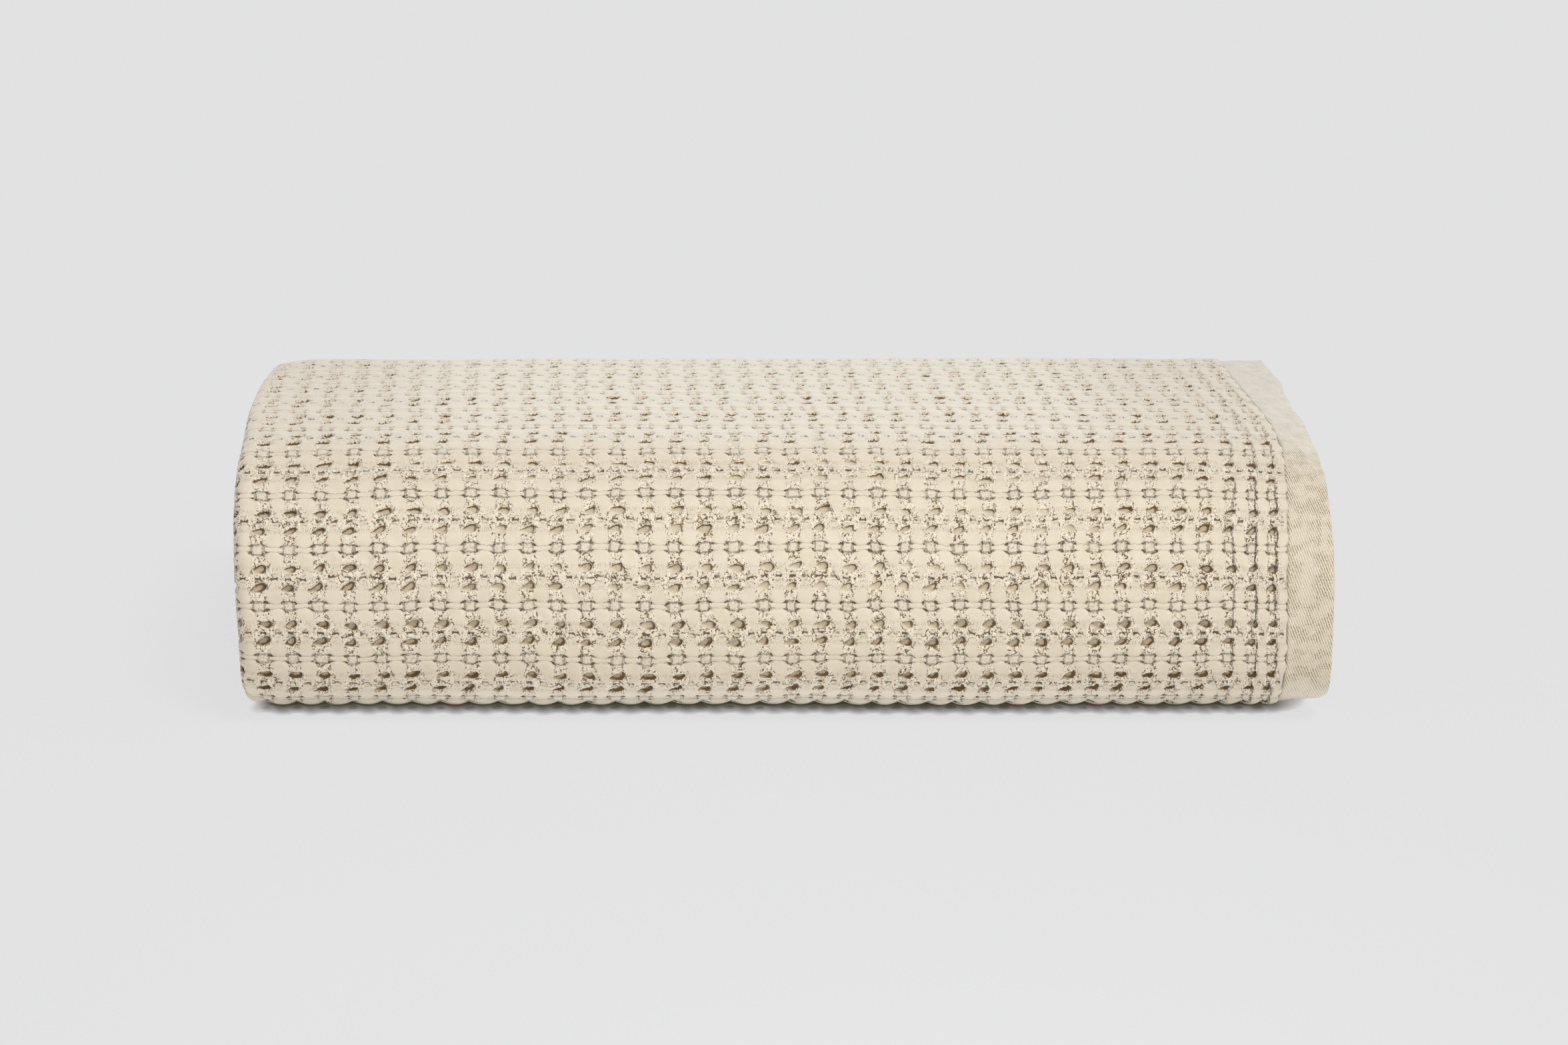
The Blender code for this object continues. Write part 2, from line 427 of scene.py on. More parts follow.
    def on_strip(
        self, bend: np.ndarray, past_bend: np.ndarray, stations: np.ndarray, relief: np.ndarray
    ) -> np.ndarray:
        """Place points on the strip's outer face and round the fold at its left edge.

        Args:
            bend: x where the fold begins.
            past_bend: distance to the left of where the fold begins.
            stations: the roll line's stations.
            relief: how far each point stands out of the face.

        Returns:
            An array of places, x, y and z last.
        """
        radius = self.line.face
        angle = np.clip(past_bend / radius, 0.0, math.pi)
        beyond = np.maximum(0.0, past_bend - math.pi * radius)
        out = radius + relief
        x = bend - np.minimum(past_bend, 0.0) + beyond - out * np.sin(angle)
        offset = out * np.cos(angle)
        y, z, normal_y, normal_z = self.line.sample(stations)
        return self.settling.apply(self.line, x, y + offset * normal_y, z + offset * normal_z)


@dataclass(frozen=True)
class Relief:
    """What the weave is like at each point of a sheet."""

    height: np.ndarray  # out of the cloth's face, in millimetres
    # Painted shade: how far a point's finish is darkened for lying deep in the weave.
    hollow_shade: np.ndarray  # 0 on the face to 1 deep in a hollow
    fuzz: np.ndarray  # 0 on smooth weave to 1 on curled yarn
    pit: np.ndarray  # 0 at a pit's middle, 1 at its rim and more outside
    # Painted shadow: how strongly a point is darkened under a pit's upper right wall.
    shade: np.ndarray  # 0 to 1 under a pit's upper right wall

    def cut(self, kept: slice) -> "Relief":
        """Return the same for some of the sheet's rows."""
        return Relief(*(getattr(self, part.name)[kept] for part in fields(self)))


@dataclass(frozen=True)
class CellPoints:
    """Where a sheet's points lie in the weave, lengths in millimetres."""

    columns: np.ndarray
    rows: np.ndarray
    knot_column: np.ndarray  # whole number of the nearest column of knots
    pad_column: np.ndarray  # whole number of the column of pads
    half_row: np.ndarray  # whole number, one below each row of knots and one above
    above: np.ndarray  # whether the nearest row of knots is below the point
    right: np.ndarray  # from the knots' column
    pad_right: np.ndarray  # from the pads' column
    up: np.ndarray  # from the row of knots
    along: np.ndarray  # from the row of knots, either way


@dataclass(frozen=True)
class Weave:
    """One repeat of the waffle weave, in millimetres.

    A repeat has a knot at its corners, a thin cord between knots in a row, smooth pads on
    both sides of the cord half way between knots, patches of curled yarn beside the
    knots, a pit past each patch, and slits in the plain row between two cords.
    """

    width: float = CELL_WIDTH
    length: float = CELL_LENGTH
    groove: float = -0.95
    bed: float = -0.42
    land: float = -0.16
    slack: float = 0.12
    pad_half_width: float = 5.5
    pad_middle: float = 6.0
    pad_half_length: float = 4.6
    dent_depth: float = 0.9
    knot_half: float = 2.7
    knot_top: float = -0.05
    knot_drop: float = 0.70
    cord_top: float = -0.16
    cord_half_width: float = 1.5
    corner_at: Pair = (3.5, 2.3)
    corner_half: Pair = (1.3, 0.8)
    corner_depth: float = 0.8
    pit_half_width: float = 3.7
    pit_half_length: float = 2.4
    pit_depth: float = 3.2
    low_puff: float = 1.2
    crease_at: float = 2.9
    crease_half_width: float = 0.8
    crease_depth: float = 1.3
    slit_half: Pair = (1.6, 0.75)
    slit_depth: float = 1.1
    comb_at: float = 10.6
    across_lines: tuple[float, ...] = (0.0, 1.0, 2.0, 2.7, 3.3, 4.0, 4.8, 5.7, 6.7, 7.6)
    along_lines: tuple[float, ...] = (
        0.0, 0.9, 1.5, 2.1, 2.8, 4.2, 6.2, 7.9, 8.8, 9.6, 10.7, 11.8, 12.8, 14.8, 15.8,
    )
    noise: SoftNoise = field(default_factory=lambda: SoftNoise(21))

    def lines(self, start: float, end: float, half_lines: tuple[float, ...], length: float) -> np.ndarray:
        """Return the grid lines of a stretch of the weave, in repeats.

        Args:
            start: where the stretch starts, in repeats.
            end: where it ends.
            half_lines: the lines of half a repeat, in millimetres.
            length: the repeat's length, in millimetres.

        Returns:
            The lines in rising order, with the stretch's two ends among them.
        """
        shares = np.array(half_lines) / length
        shares[-1] = 0.5
        whole = np.concatenate([-shares[:0:-1], shares])[:-1]
        repeats = np.arange(math.floor(start) - 1, math.ceil(end) + 2)
        lines = np.sort((repeats[:, None] + whole[None, :]).ravel())
        inside = lines[(lines > start + 1e-2) & (lines < end - 1e-2)]
        return np.concatenate([[start], inside, [end]])

    def points(self, columns: np.ndarray, rows: np.ndarray) -> CellPoints:
        """Return where places given in repeats lie in the weave's cells."""
        columns, rows = np.broadcast_arrays(columns, rows)
        knot_column, knot_row, pad_column = np.round(columns), np.round(rows), np.floor(columns)
        above = rows >= knot_row
        right = (knot_column - columns) * self.width
        pad_right = (pad_column + 0.5 - columns) * self.width
        up = (rows - knot_row) * self.length
        half_row = 2 * knot_row + above
        return CellPoints(
            columns, rows, knot_column, pad_column, half_row, above, right, pad_right, up, np.abs(up)
        )

    def by_knot(self, at: CellPoints, draw: int) -> np.ndarray:
        """Return one of the random values of the nearest knot's half row."""
        return self.noise.of_cell(at.knot_column, at.half_row, draw)

    def by_pad(self, at: CellPoints, draw: int) -> np.ndarray:
        """Return one of the random values of the nearest pad."""
        return self.noise.of_cell(at.pad_column, at.half_row, draw)

    def ground(self, at: CellPoints) -> np.ndarray:
        """Return the height of the cloth under pads and yarn: grooved beside the cords."""
        near_knot = smooth_step((np.abs(at.pad_right) - 1.8) / 2.6)
        groove = self.bed + (self.groove - self.bed) * (0.25 + 0.75 * near_knot)
        past_cord = smooth_step((at.along - 1.9) / 0.9)
        near_land = smooth_step((at.along - 8.0) / 2.6)
        return groove + (self.bed - groove) * past_cord + (self.land - self.bed) * near_land

    def pads(self, at: CellPoints, ground: np.ndarray) -> np.ndarray:
        """Return the height of the pads, some of them dented."""
        half_width = self.pad_half_width * (1.0 + 0.06 * self.by_pad(at, 2))
        pad = np.abs((at.pad_right - 0.3 * self.by_pad(at, 1)) / half_width) ** 2.1
        pad = pad + np.abs((at.along - self.pad_middle) / self.pad_half_length) ** 2.3
        top = 0.02 + 0.10 * self.by_pad(at, 3)
        raised = np.clip(1.0 - pad, 0.0, 1.0) ** 0.45
        dent_across = (at.pad_right - 2.0 * self.by_pad(at, 4)) / 2.4
        dent_along = (at.along - self.pad_middle - 1.5 * self.by_pad(at, 5)) / 2.1
        dent = np.clip(self.by_pad(at, 6) - 0.3, 0.0, 1.0) * np.exp(-(dent_across**2) - dent_along**2)
        return ground + (top - ground) * raised - self.dent_depth * dent * raised

    def past_knot(self, at: CellPoints) -> np.ndarray:
        """Return how far a point is from a knot's middle: 1 at its square rim."""
        return np.abs(at.right / self.knot_half) ** 4 + np.abs(at.along / self.knot_half) ** 4

    def knots(self, at: CellPoints) -> np.ndarray:
        """Return the height of the cords and of the knots on them."""
        cord = self.cord_top - 0.7 * (at.along / self.cord_half_width) ** 2
        knot = np.clip(1.0 - self.past_knot(at), 0.0, 1.0) ** 0.3
        return np.maximum(cord, self.knot_top - self.knot_drop + self.knot_drop * knot)

    def curls(self, at: CellPoints, ground: np.ndarray) -> np.ndarray:
        """Return the height of the patches of curled yarn."""
        near_column = 1.0 - smooth_step((np.abs(at.right) - 1.6) / 2.0)
        patch = near_column * smooth_step((at.along - 2.4) / 0.8) * (1.0 - smooth_step(at.along - 8.2))
        curl = self.noise.at(at.columns * 13.0 + at.rows * 9.0, at.rows * 30.0)
        return ground + (0.22 + 0.30 * curl) * patch

    def creases(self, at: CellPoints) -> np.ndarray:
        """Return the depth of the upright creases beside the hem."""
        from_crease = (at.right - self.crease_at + 1.1 * self.by_knot(at, 13)) / self.crease_half_width
        near_hem = smooth_step((4.8 - at.columns) / 3.0) * smooth_step((12.0 - at.along) / 2.0)
        uneven = np.clip(0.55 + 0.6 * self.by_knot(at, 15), 0.1, 1.0)
        return self.crease_depth * np.exp(-(from_crease**2)) * near_hem * uneven

    def corners(self, at: CellPoints) -> np.ndarray:
        """Return the depth of the small hollows at the knots' corners."""
        past_side = np.abs(at.right) - self.corner_at[0]
        past_end = at.along - self.corner_at[1] + 0.3 * past_side
        corner = (past_side / self.corner_half[0]) ** 2 + (past_end / self.corner_half[1]) ** 2
        return (self.corner_depth + 0.3 * self.by_knot(at, 12)) * np.clip(1.0 - corner, 0.0, 1.0) ** 0.5

    def slits(self, at: CellPoints) -> np.ndarray:
        """Return the depth of the slits in the plain row."""
        slit_row = (self.length / 2 - at.along) / self.slit_half[1]
        on_knots = np.clip(1.0 - (at.right / self.slit_half[0]) ** 4 - slit_row**2, 0.0, 1.0)
        on_pads = np.clip(1.0 - (at.pad_right / self.slit_half[0]) ** 4 - slit_row**2, 0.0, 1.0)
        return self.slit_depth * np.maximum(on_knots, on_pads) ** 0.5

    def pits(self, at: CellPoints) -> tuple[np.ndarray, np.ndarray, np.ndarray]:
        """Return the pits' shapes.

        Args:
            at: the points.

        Returns:
            How far each point is from its pit's middle, 1 at the rim; how near it is to the
            steep upper right wall, from 0 to 1; and how open the pit is.
        """
        across = at.right + np.where(at.above, 0.5, -0.9) - 0.35 * self.by_knot(at, 9)
        lean = np.where(at.above, 0.28, 0.10) + 0.16 * self.by_knot(at, 14)
        up = at.up - np.where(at.above, 10.2, -10.8) - lean * across
        across = across / (self.pit_half_width * (1.0 + 0.12 * self.by_knot(at, 10)))
        tapered = np.clip(0.85 + 0.32 * across, 0.4, 1.15)
        up = up / (self.pit_half_length * tapered * (1.0 + 0.18 * self.by_knot(at, 8)))
        pit = np.abs(across) ** 2.2 + np.abs(up) ** 2.2
        pit = pit * (1.0 + 0.35 * self.noise.at(at.columns * 5.5 + 7, at.rows * 11.0 + 3))
        towards = np.clip(0.5 + 0.33 * (across + up) + 0.1 * self.by_knot(at, 7), 0.0, 1.0)
        openness = 0.70 + 0.26 * self.by_knot(at, 11)
        openness = openness + 0.15 * self.noise.at(at.columns / 9 + 3, at.rows / 4 + 9)
        openness = openness + 0.35 * smooth_step((2.2 - at.rows) / 2.0)
        openness = openness + 0.3 * smooth_step((at.columns - 30.0) / 6.0)
        openness = openness + 0.3 * smooth_step((5.0 - at.columns) / 4.0)
        return pit, towards, np.clip(openness, 0.35, 1.2)

    def fuzz(self, at: CellPoints) -> np.ndarray:
        """Return where curled yarn lies, from 0 to 1."""
        leaning = at.right - 0.22 * np.minimum(-at.up, 9.0) * ~at.above
        column = 1.0 - smooth_step((np.abs(leaning) - 1.4 - 0.25 * at.along) / 1.8)
        beside = column * smooth_step((at.along - 2.2) / 1.2)
        on_knots = 0.35 * np.clip(1.2 - self.past_knot(at), 0.0, 1.0)
        comb = np.exp(-(((at.along - self.comb_at) / 1.3) ** 2)) * np.exp(-((at.pad_right / 4.0) ** 4))
        land = smooth_step((at.along - 8.8) / 2.5)
        return np.clip(np.maximum.reduce([beside, on_knots, 0.4 * comb, 0.28 * land]), 0.0, 1.0)

    def relief(self, columns: np.ndarray, rows: np.ndarray) -> Relief:
        """Return what the weave is like at places given in repeats.

        Args:
            columns: places across, a row of numbers or a grid.
            rows: places along, a column of numbers or a grid.

        Returns:
            The height and the masks.
        """
        at = self.points(columns, rows)
        ground = self.ground(at)
        height = np.maximum.reduce([ground, self.pads(at, ground), self.knots(at), self.curls(at, ground)])
        height = height + self.slack * self.noise.at(at.columns * 2.3, at.rows * 4.1)
        at_bottom = smooth_step((-0.04 - at.rows) / 0.14) * smooth_step((at.rows + 0.9) / 0.3)
        height = height + self.low_puff * at_bottom * (0.9 - (at.pad_right / 7.6) ** 2 * 1.5)
        pit, towards, openness = self.pits(at)
        sunk = np.clip(1.0 - pit, 0.0, 1.0) ** (0.9 - 0.65 * towards) * (0.5 + 0.5 * towards) * openness
        height = height - self.creases(at) - self.corners(at) - self.pit_depth * sunk - self.slits(at)
        # Painted shade: the deeper a point lies in the weave, the darker its finish is painted.
        hollow_shade = smooth_step((-height - 1.0) / 3.0)
        # The last mask is the pits' painted shadow, under their upper right walls.
        return Relief(height, hollow_shade, self.fuzz(at), np.minimum(pit, 3.0), towards * openness)


class GridSheet:
    """A mesh grid whose points are given as an array, with its own UV map."""

    def __init__(
        self, name: str, places: np.ndarray, uv: np.ndarray, normals: np.ndarray | None = None
    ) -> None:
        """Add a grid and move its points.

        Args:
            name: the piece's name.
            places: an array of the points' places, rows by columns by 3. The face looks
                to the side from which rows run right and columns run up.
            uv: the same shape by 2, the piece's UV map.
            normals: the points' normals, or None for the mesh's own.
        """
        rows, columns = places.shape[:2]
        for selected in bpy.context.selected_objects:
            selected.select_set(False)
        bpy.ops.mesh.primitive_grid_add(x_subdivisions=rows - 1, y_subdivisions=columns - 1, size=1.0)
        self.piece = bpy.context.active_object
        self.piece.name = name
        mesh = self.piece.data
        mesh.name = name
        flat = np.empty(len(mesh.vertices) * 3, dtype=np.float32)
        mesh.vertices.foreach_get("co", flat)
        row = np.rint((flat[0::3] + 0.5) * (rows - 1)).astype(int)
        column = np.rint((flat[1::3] + 0.5) * (columns - 1)).astype(int)
        self.row, self.column = row, column
        mesh.vertices.foreach_set("co", places[row, column].astype(np.float32).ravel())
        corners = np.empty(len(mesh.loops), dtype=np.int32)
        mesh.loops.foreach_get("vertex_index", corners)
        pairs = uv[row, column][corners]
        mesh.uv_layers[0].uv.foreach_set("vector", pairs.astype(np.float32).ravel())
        mesh.polygons.foreach_set("use_smooth", np.ones(len(mesh.polygons), dtype=bool))
        mesh.update()
        if normals is not None:
            mesh.normals_split_custom_set_from_vertices(normals[row, column].astype(np.float32))

    def paint(self, name: str, values: np.ndarray) -> None:
        """Store a value for each point as an attribute that the finish reads."""
        attribute = self.piece.data.attributes.new(name, "FLOAT", "POINT")
        attribute.data.foreach_set("value", values[self.row, self.column].astype(np.float32))

    def declare(self, material: Material, width: float, length: float) -> None:
        """Dress the sheet and tell the frame what it is.

        Args:
            material: its finish.
            width: its flat width, in metres.
            length: its flat length, in metres.
        """
        piece = self.piece
        piece.data.materials.clear()
        piece.data.materials.append(material)
        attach(piece, BODY)
        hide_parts(NODE)
        LOG.info("%s: %d faces, flat %.3f x %.3f m", piece.name, len(piece.data.polygons), width, length)


def grid_normals(places: np.ndarray) -> np.ndarray:
    """Return the unit normals of a grid of places, from its central differences."""
    along = np.gradient(places, axis=0)
    across = np.gradient(places, axis=1)
    normal = np.cross(along, across)
    return normal / np.maximum(np.linalg.norm(normal, axis=-1, keepdims=True), 1e-12)


def waffle_sheet(
    name: str,
    places: np.ndarray,
    across: np.ndarray,
    along: np.ndarray,
    relief: Relief,
    normals: np.ndarray | None = None,
) -> GridSheet:
    """Return a sheet of the weave with the masks that its finish reads.

    Args:
        name: the piece's name.
        places: the points' places, rows by columns by 3.
        across: the points' columns in repeats.
        along: the points' rows in repeats.
        relief: what the weave is like there.
        normals: the points' normals, or None to work them out from the places.

    Returns:
        The sheet.
    """
    uv = np.stack(np.broadcast_arrays(across, along), axis=-1)
    sheet = GridSheet(name, places, uv, grid_normals(places) if normals is None else normals)
    # Two of these masks are painted shade: one deep in the weave, one under the pits' upper right walls.
    for mask in ("hollow_shade", "fuzz", "pit", "shade"):
        sheet.paint(mask, getattr(relief, mask))
    return sheet


@dataclass
class OuterTurn:
    """The waffle cloth that shows: up the front, over the top, down the back and below."""

    cloth: OuterCloth
    weave: Weave
    fine_from: float = -0.8
    fine_to: float = 12.5
    tail_hem: float = 0.022
    under_fold: float = 0.012
    rolled_edge: tuple[float, ...] = (-0.0006, -0.0003, 0.0004, 0.0013)
    edge_drop: float = 3.0
    edge_puff: float = 0.0012
    gathered: float = 14.0
    back_lines: tuple[float, ...] = (0.0, 1.5, 2.8, 6.2, 8.8, 10.7, 12.8, 15.8)
    under_lines: tuple[float, ...] = (0.0, 1.8, 6.2, 9.0, 12.4, 15.8)
    fine_pieces: tuple[str, ...] = ("waffle_front", "waffle_shoulder", "waffle_top")

    def row_lines(self) -> tuple[np.ndarray, list[tuple[str, int, int]]]:
        """Return the grid lines along the climb and the pieces that they are cut into."""
        weave, cloth = self.weave, self.cloth
        lowest = cloth.row_of(cloth.under_front - (cloth.face_lengths[-1] - self.tail_hem))
        highest = cloth.row_of(cloth.under_front - cloth.first_length)
        below = weave.lines(lowest, self.fine_from, self.under_lines, weave.length)
        fine = weave.lines(self.fine_from, self.fine_to, weave.along_lines, weave.length)
        above = weave.lines(self.fine_to, highest, self.back_lines, weave.length)
        lines = np.concatenate([below[:-1], fine, above[1:]])
        start, end = len(below) - 1, len(below) - 1 + len(fine) - 1
        cuts = np.linspace(start, end, len(self.fine_pieces) + 1).round().astype(int)
        pieces = [("waffle_under", 0, start)]
        pieces += [(name, int(a), int(b)) for name, a, b in zip(self.fine_pieces, cuts, cuts[1:])]
        pieces.append(("waffle_back", end, len(lines) - 1))
        return lines, pieces

    def column_lines(self) -> np.ndarray:
        """Return the grid lines across the cloth, from its rolled edge at the hem."""
        cloth, weave = self.cloth, self.weave
        widest = max(cloth.lines) - min(cloth.lefts)
        last = cloth.column_of(widest - cloth.line.face + math.pi * cloth.line.face + self.under_fold)
        edge = [cloth.column_of(distance) for distance in self.rolled_edge]
        lines = weave.lines(edge[-1], last, weave.across_lines, weave.width)
        return np.concatenate([edge[:-1], lines])

    def build(self, material: Material) -> None:
        """Build the outer turn's sheets."""
        cloth, weave = self.cloth, self.weave
        columns = self.column_lines()
        rows, pieces = self.row_lines()
        across, along = columns[None, :], rows[:, None]
        relief = weave.relief(across, along)
        from_line = cloth.width_of(across) / MM
        drop = np.clip((0.9 - from_line) / 1.5, 0.0, 1.0)
        places = cloth.place(across, along, (relief.height - self.edge_drop * drop**1.4) * MM)
        puff = np.exp(-((np.abs(along - np.round(along)) * weave.length - weave.pad_middle) / 3.5) ** 2)
        near_edge = np.clip((self.gathered - from_line) / self.gathered, 0.0, 1.0)
        places[..., 0] += self.edge_puff * (puff - 1.0 / 3.0) * near_edge
        # Painted shade where the weave drops to meet the hem.
        relief = replace(relief, hollow_shade=np.maximum(relief.hollow_shade, smooth_step(drop * 1.6 - 0.3)))
        normals = grid_normals(places)
        width = (columns[-1] - columns[0]) * 0.5 * (cloth.hem_pitch + cloth.far_pitch)
        for name, start, end in pieces:
            kept = slice(start, end + 1)
            sheet = waffle_sheet(name, places[kept], across, along[kept], relief.cut(kept), normals[kept])
            sheet.declare(material, width, (rows[end] - rows[start]) * cloth.row_pitch)


@dataclass
class LeftFolds:
    """The strip's folds at the left end, on the turns inside the outer one."""

    cloth: OuterCloth
    weave: Weave
    lap: float = 0.010
    wander: float = 0.0012
    wander_length: float = 0.46
    puff: float = 0.1
    bend: float = -0.2846

    def build(self, material: Material) -> None:
        """Build the folds of all inner turns as one sheet."""
        cloth, weave, line = self.cloth, self.weave, self.cloth.line
        width = math.pi * line.face + 2 * self.lap
        rows = weave.lines(0.0, cloth.first_length / cloth.row_pitch, FOLD_LINES, weave.length)
        columns = weave.lines(0.0, width / cloth.far_pitch, weave.across_lines, weave.width)
        across, along = columns[None, :], rows[:, None]
        relief = weave.relief(across, along)
        distance = along * cloth.row_pitch
        stations = line.stations_at(distance, line.face)
        bend = self.bend - self.wander * np.sin(2 * math.pi * distance / self.wander_length)
        past = across * cloth.far_pitch - self.lap
        height = np.minimum(relief.height, self.puff) * MM
        places = cloth.on_strip(bend, past, stations, height)
        outwards = slice(None, None, -1)
        sheet = waffle_sheet("left_folds", places[outwards], across, along[outwards], relief.cut(outwards))
        sheet.declare(material, width, float(cloth.first_length))


@dataclass
class RightFolds:
    """The smaller folds of the strip's two inner plies, at its right end."""

    cloth: OuterCloth
    weave: Weave
    lap: float = 0.009
    set_back: float = 0.0012
    flattened: float = 0.6

    def build(self, material: Material) -> None:
        """Build the folds of all turns as one sheet."""
        cloth, weave, line = self.cloth, self.weave, self.cloth.line
        radius = line.inner_ply + line.sheet_thickness / 2
        middle = -(line.outer_ply + line.inner_ply) / 2
        length = float(line.lengths(middle)[-1])
        width = math.pi * radius + 2 * self.lap
        rows = weave.lines(0.0, length / cloth.row_pitch, FOLD_LINES, weave.length)
        columns = weave.lines(0.0, width / cloth.hem_pitch, weave.across_lines, weave.width)
        across, along = columns[None, :], rows[:, None]
        relief = weave.relief(across, along)
        y, z, normal_y, normal_z = line.sample(line.stations_at(along * cloth.row_pitch, middle))
        past = across * cloth.hem_pitch - self.lap
        angle = np.clip(past / radius, 0.0, math.pi)
        beyond = np.maximum(0.0, past - math.pi * radius)
        out = radius + np.minimum(relief.height * self.flattened, 0.0) * MM
        bend = cloth.settling.right_edge(line, y, z) - radius - self.set_back
        x = bend + np.minimum(past, 0.0) - beyond + out * np.sin(angle)
        offset = middle + out * np.cos(angle)
        places = cloth.settling.apply(line, x, y + offset * normal_y, z + offset * normal_z)
        sheet = waffle_sheet("right_folds", places, across, along, relief)
        sheet.declare(material, width, length)


@dataclass(frozen=True)
class HemSection:
    """The section of a hem turned over at its edge, open at its hidden side."""

    width: float = 0.0246
    lap: float = 0.0040
    thickness: float = 0.0024
    top_points: int = 14
    below_points: int = 6

    def points(self) -> tuple[np.ndarray, np.ndarray]:
        """Return shares of the width, below 0 in the lap, and levels, 0 on top to 1 below."""
        top = np.concatenate([[-1.0, -0.35, -0.05, 0.02, 0.05], np.linspace(0.1, 0.96, self.top_points)])
        turn = np.linspace(0.0, math.pi, 7)[1:-1]
        below = np.concatenate([np.linspace(0.96, 0.0, self.below_points), [-1.0]])
        shares = np.concatenate([top, 0.96 + 0.04 * np.sin(turn), below])
        levels = np.concatenate([0.0 * top, 0.5 - 0.5 * np.cos(turn), 1.0 + 0.0 * below])
        return shares[None, :], levels[None, :]

    def across(self, shares: np.ndarray) -> np.ndarray:
        """Return how far past the hem's line each share lies, in metres."""
        return np.minimum(shares, 0.0) * self.lap + np.maximum(shares, 0.0) * self.width

    def distances(self) -> np.ndarray:
        """Return each point's distance along the section, in metres."""
        shares, levels = self.points()
        x = self.across(shares)
        steps = np.hypot(np.diff(x[0]), np.diff(levels[0] * self.thickness))
        return np.concatenate([[0.0], np.cumsum(steps)])[None, :]

    def sheet(
        self,
        name: str,
        places: np.ndarray,
        along: np.ndarray,
        hollow_shade: np.ndarray,
        material: Material,
        backwards: bool = False,
    ) -> None:
        """Make the sheet of a hem.

        Args:
            name: the piece's name.
            places: its points' places, along the edge by round the section by 3.
            along: how far along the edge each row lies, in metres.
            hollow_shade: how dark each point is where the hem meets the weave, from 0 to 1.
            material: its finish.
            backwards: whether the section runs the other way round to face outwards.
        """
        shape = places.shape[:2]
        order = slice(None, None, -1 if backwards else 1)
        distances = self.distances()
        uv = np.stack([np.broadcast_to(value / MM, shape) for value in (distances, along)], axis=-1)
        sheet = GridSheet(name, places[:, order], uv[:, order])
        sheet.paint("hollow_shade", np.broadcast_to(hollow_shade, shape)[:, order])
        sheet.declare(material, float(distances[0, -1]), float(along[-1, 0] - along[0, 0]))


@dataclass
class OuterHem:
    """The turned and stitched hem along the outer turn's right edge."""

    cloth: OuterCloth
    section: HemSection = field(default_factory=HemSection)
    below_face: float = 0.0010
    step: float = 0.0022
    pucker: float = 0.0007
    edge_wave: float = 0.0010
    tuck: float = 0.0022
    droop: float = 0.33
    corner_lift: float = 0.0018
    noise: SoftNoise = field(default_factory=lambda: SoftNoise(31))

    def waves(self, climb: np.ndarray) -> np.ndarray:
        """Return how far the edge stands out at a climb: more ragged over the top."""
        across = 0.5 + 0.0 * climb
        ragged = 0.3 + 0.9 * smooth_step((climb - 0.22) / 0.06)
        waves = self.noise.at(climb / 0.034 + 60, across) + self.noise.at(climb / 0.013 + 90, across)
        return self.edge_wave * ragged * waves

    def puckers(self, climb: np.ndarray, shares: np.ndarray) -> np.ndarray:
        """Return the height of the soft puckers between the hem's line and its edge."""
        fine = self.noise.at(climb / 0.010 + 8.0 * shares, shares * 1.6) * 0.5
        wide = self.noise.at(climb / 0.026 + 30 - 1.5 * shares, shares * 1.1) * 0.8
        return (fine + wide) * self.pucker * smooth_step(np.maximum(shares, 0.0) * 2.0)

    def build(self, material: Material) -> None:
        """Build the hem of the outer turn."""
        cloth, line, section = self.cloth, self.cloth.line, self.section
        top_climb = cloth.under_front - cloth.first_length
        low_climb = cloth.under_front - cloth.face_lengths[-1]
        climb = np.arange(low_climb, top_climb, self.step)[:, None]
        shares, levels = section.points()
        inside, beyond = np.minimum(shares, 0.0), np.maximum(shares, 0.0)
        line_x, edge_x = cloth.hem_line(climb), cloth.hem_edge(climb)
        x = line_x + inside * section.lap + beyond * (edge_x + self.waves(climb) - line_x)
        reach = np.clip((edge_x - line_x) / section.width, 0.5, 1.0)
        droop = section.width * np.sqrt(1.0 - reach**2) * self.droop * beyond**1.8
        tuck = self.tuck * np.clip((0.025 - shares) / 0.05, 0.0, 1.0) * (1.0 - levels)
        level = line.face - self.below_face - droop + self.puckers(climb, shares) - tuck
        level = level - levels * section.thickness
        y, z, normal_y, normal_z = line.sample(cloth.stations_of(climb))
        low_corner = 1.0 - smooth_step((climb - 0.035) / 0.045)
        lifted = self.corner_lift * low_corner * beyond**1.5
        places = cloth.settling.apply(line, x, y + level * normal_y, z + level * normal_z + lifted)
        # Painted shade in the gap where the hem meets the weave, darker where the gap opens more.
        gaping = np.clip(0.62 + 0.9 * self.noise.at(climb / 0.021 + 15, 0.5 + 0.0 * climb), 0.12, 1.0)
        hollow_shade = gaping * smooth_step((0.03 - shares) / 0.04) * (1.0 - levels)
        section.sheet("outer_hem", places, climb, hollow_shade, material, backwards=True)


@dataclass
class InnerHem:
    """A hem along the strip's right edge that shows only at the roll's end."""

    cloth: OuterCloth
    name: str
    offset: float
    end: float
    set_back: float
    section: HemSection = field(default_factory=lambda: HemSection(top_points=4, below_points=3))
    step: float = 0.006
    # How dark the painted shade is on the hem's side away from its outer edge.
    shade_strength: float = 0.35

    def build(self, material: Material) -> None:
        """Build the hem from the roll's core to its given end."""
        cloth, line, section = self.cloth, self.cloth.line, self.section
        distance = np.linspace(0.0, self.end, int(self.end / self.step))[:, None]
        y, z, normal_y, normal_z = line.sample(line.stations_at(distance, self.offset))
        shares, levels = section.points()
        edge = cloth.settling.right_edge(line, y, z) - self.set_back
        x = edge - section.width + section.across(shares)
        level = self.offset + (0.5 - levels) * section.thickness
        places = cloth.settling.apply(line, x, y + level * normal_y, z + level * normal_z)
        # Painted shade, darkest away from the hem's outer edge, deeper in the roll.
        hollow_shade = self.shade_strength * (1.0 - np.clip(shares, 0.0, 1.0))
        section.sheet(self.name, places, distance, hollow_shade, material)


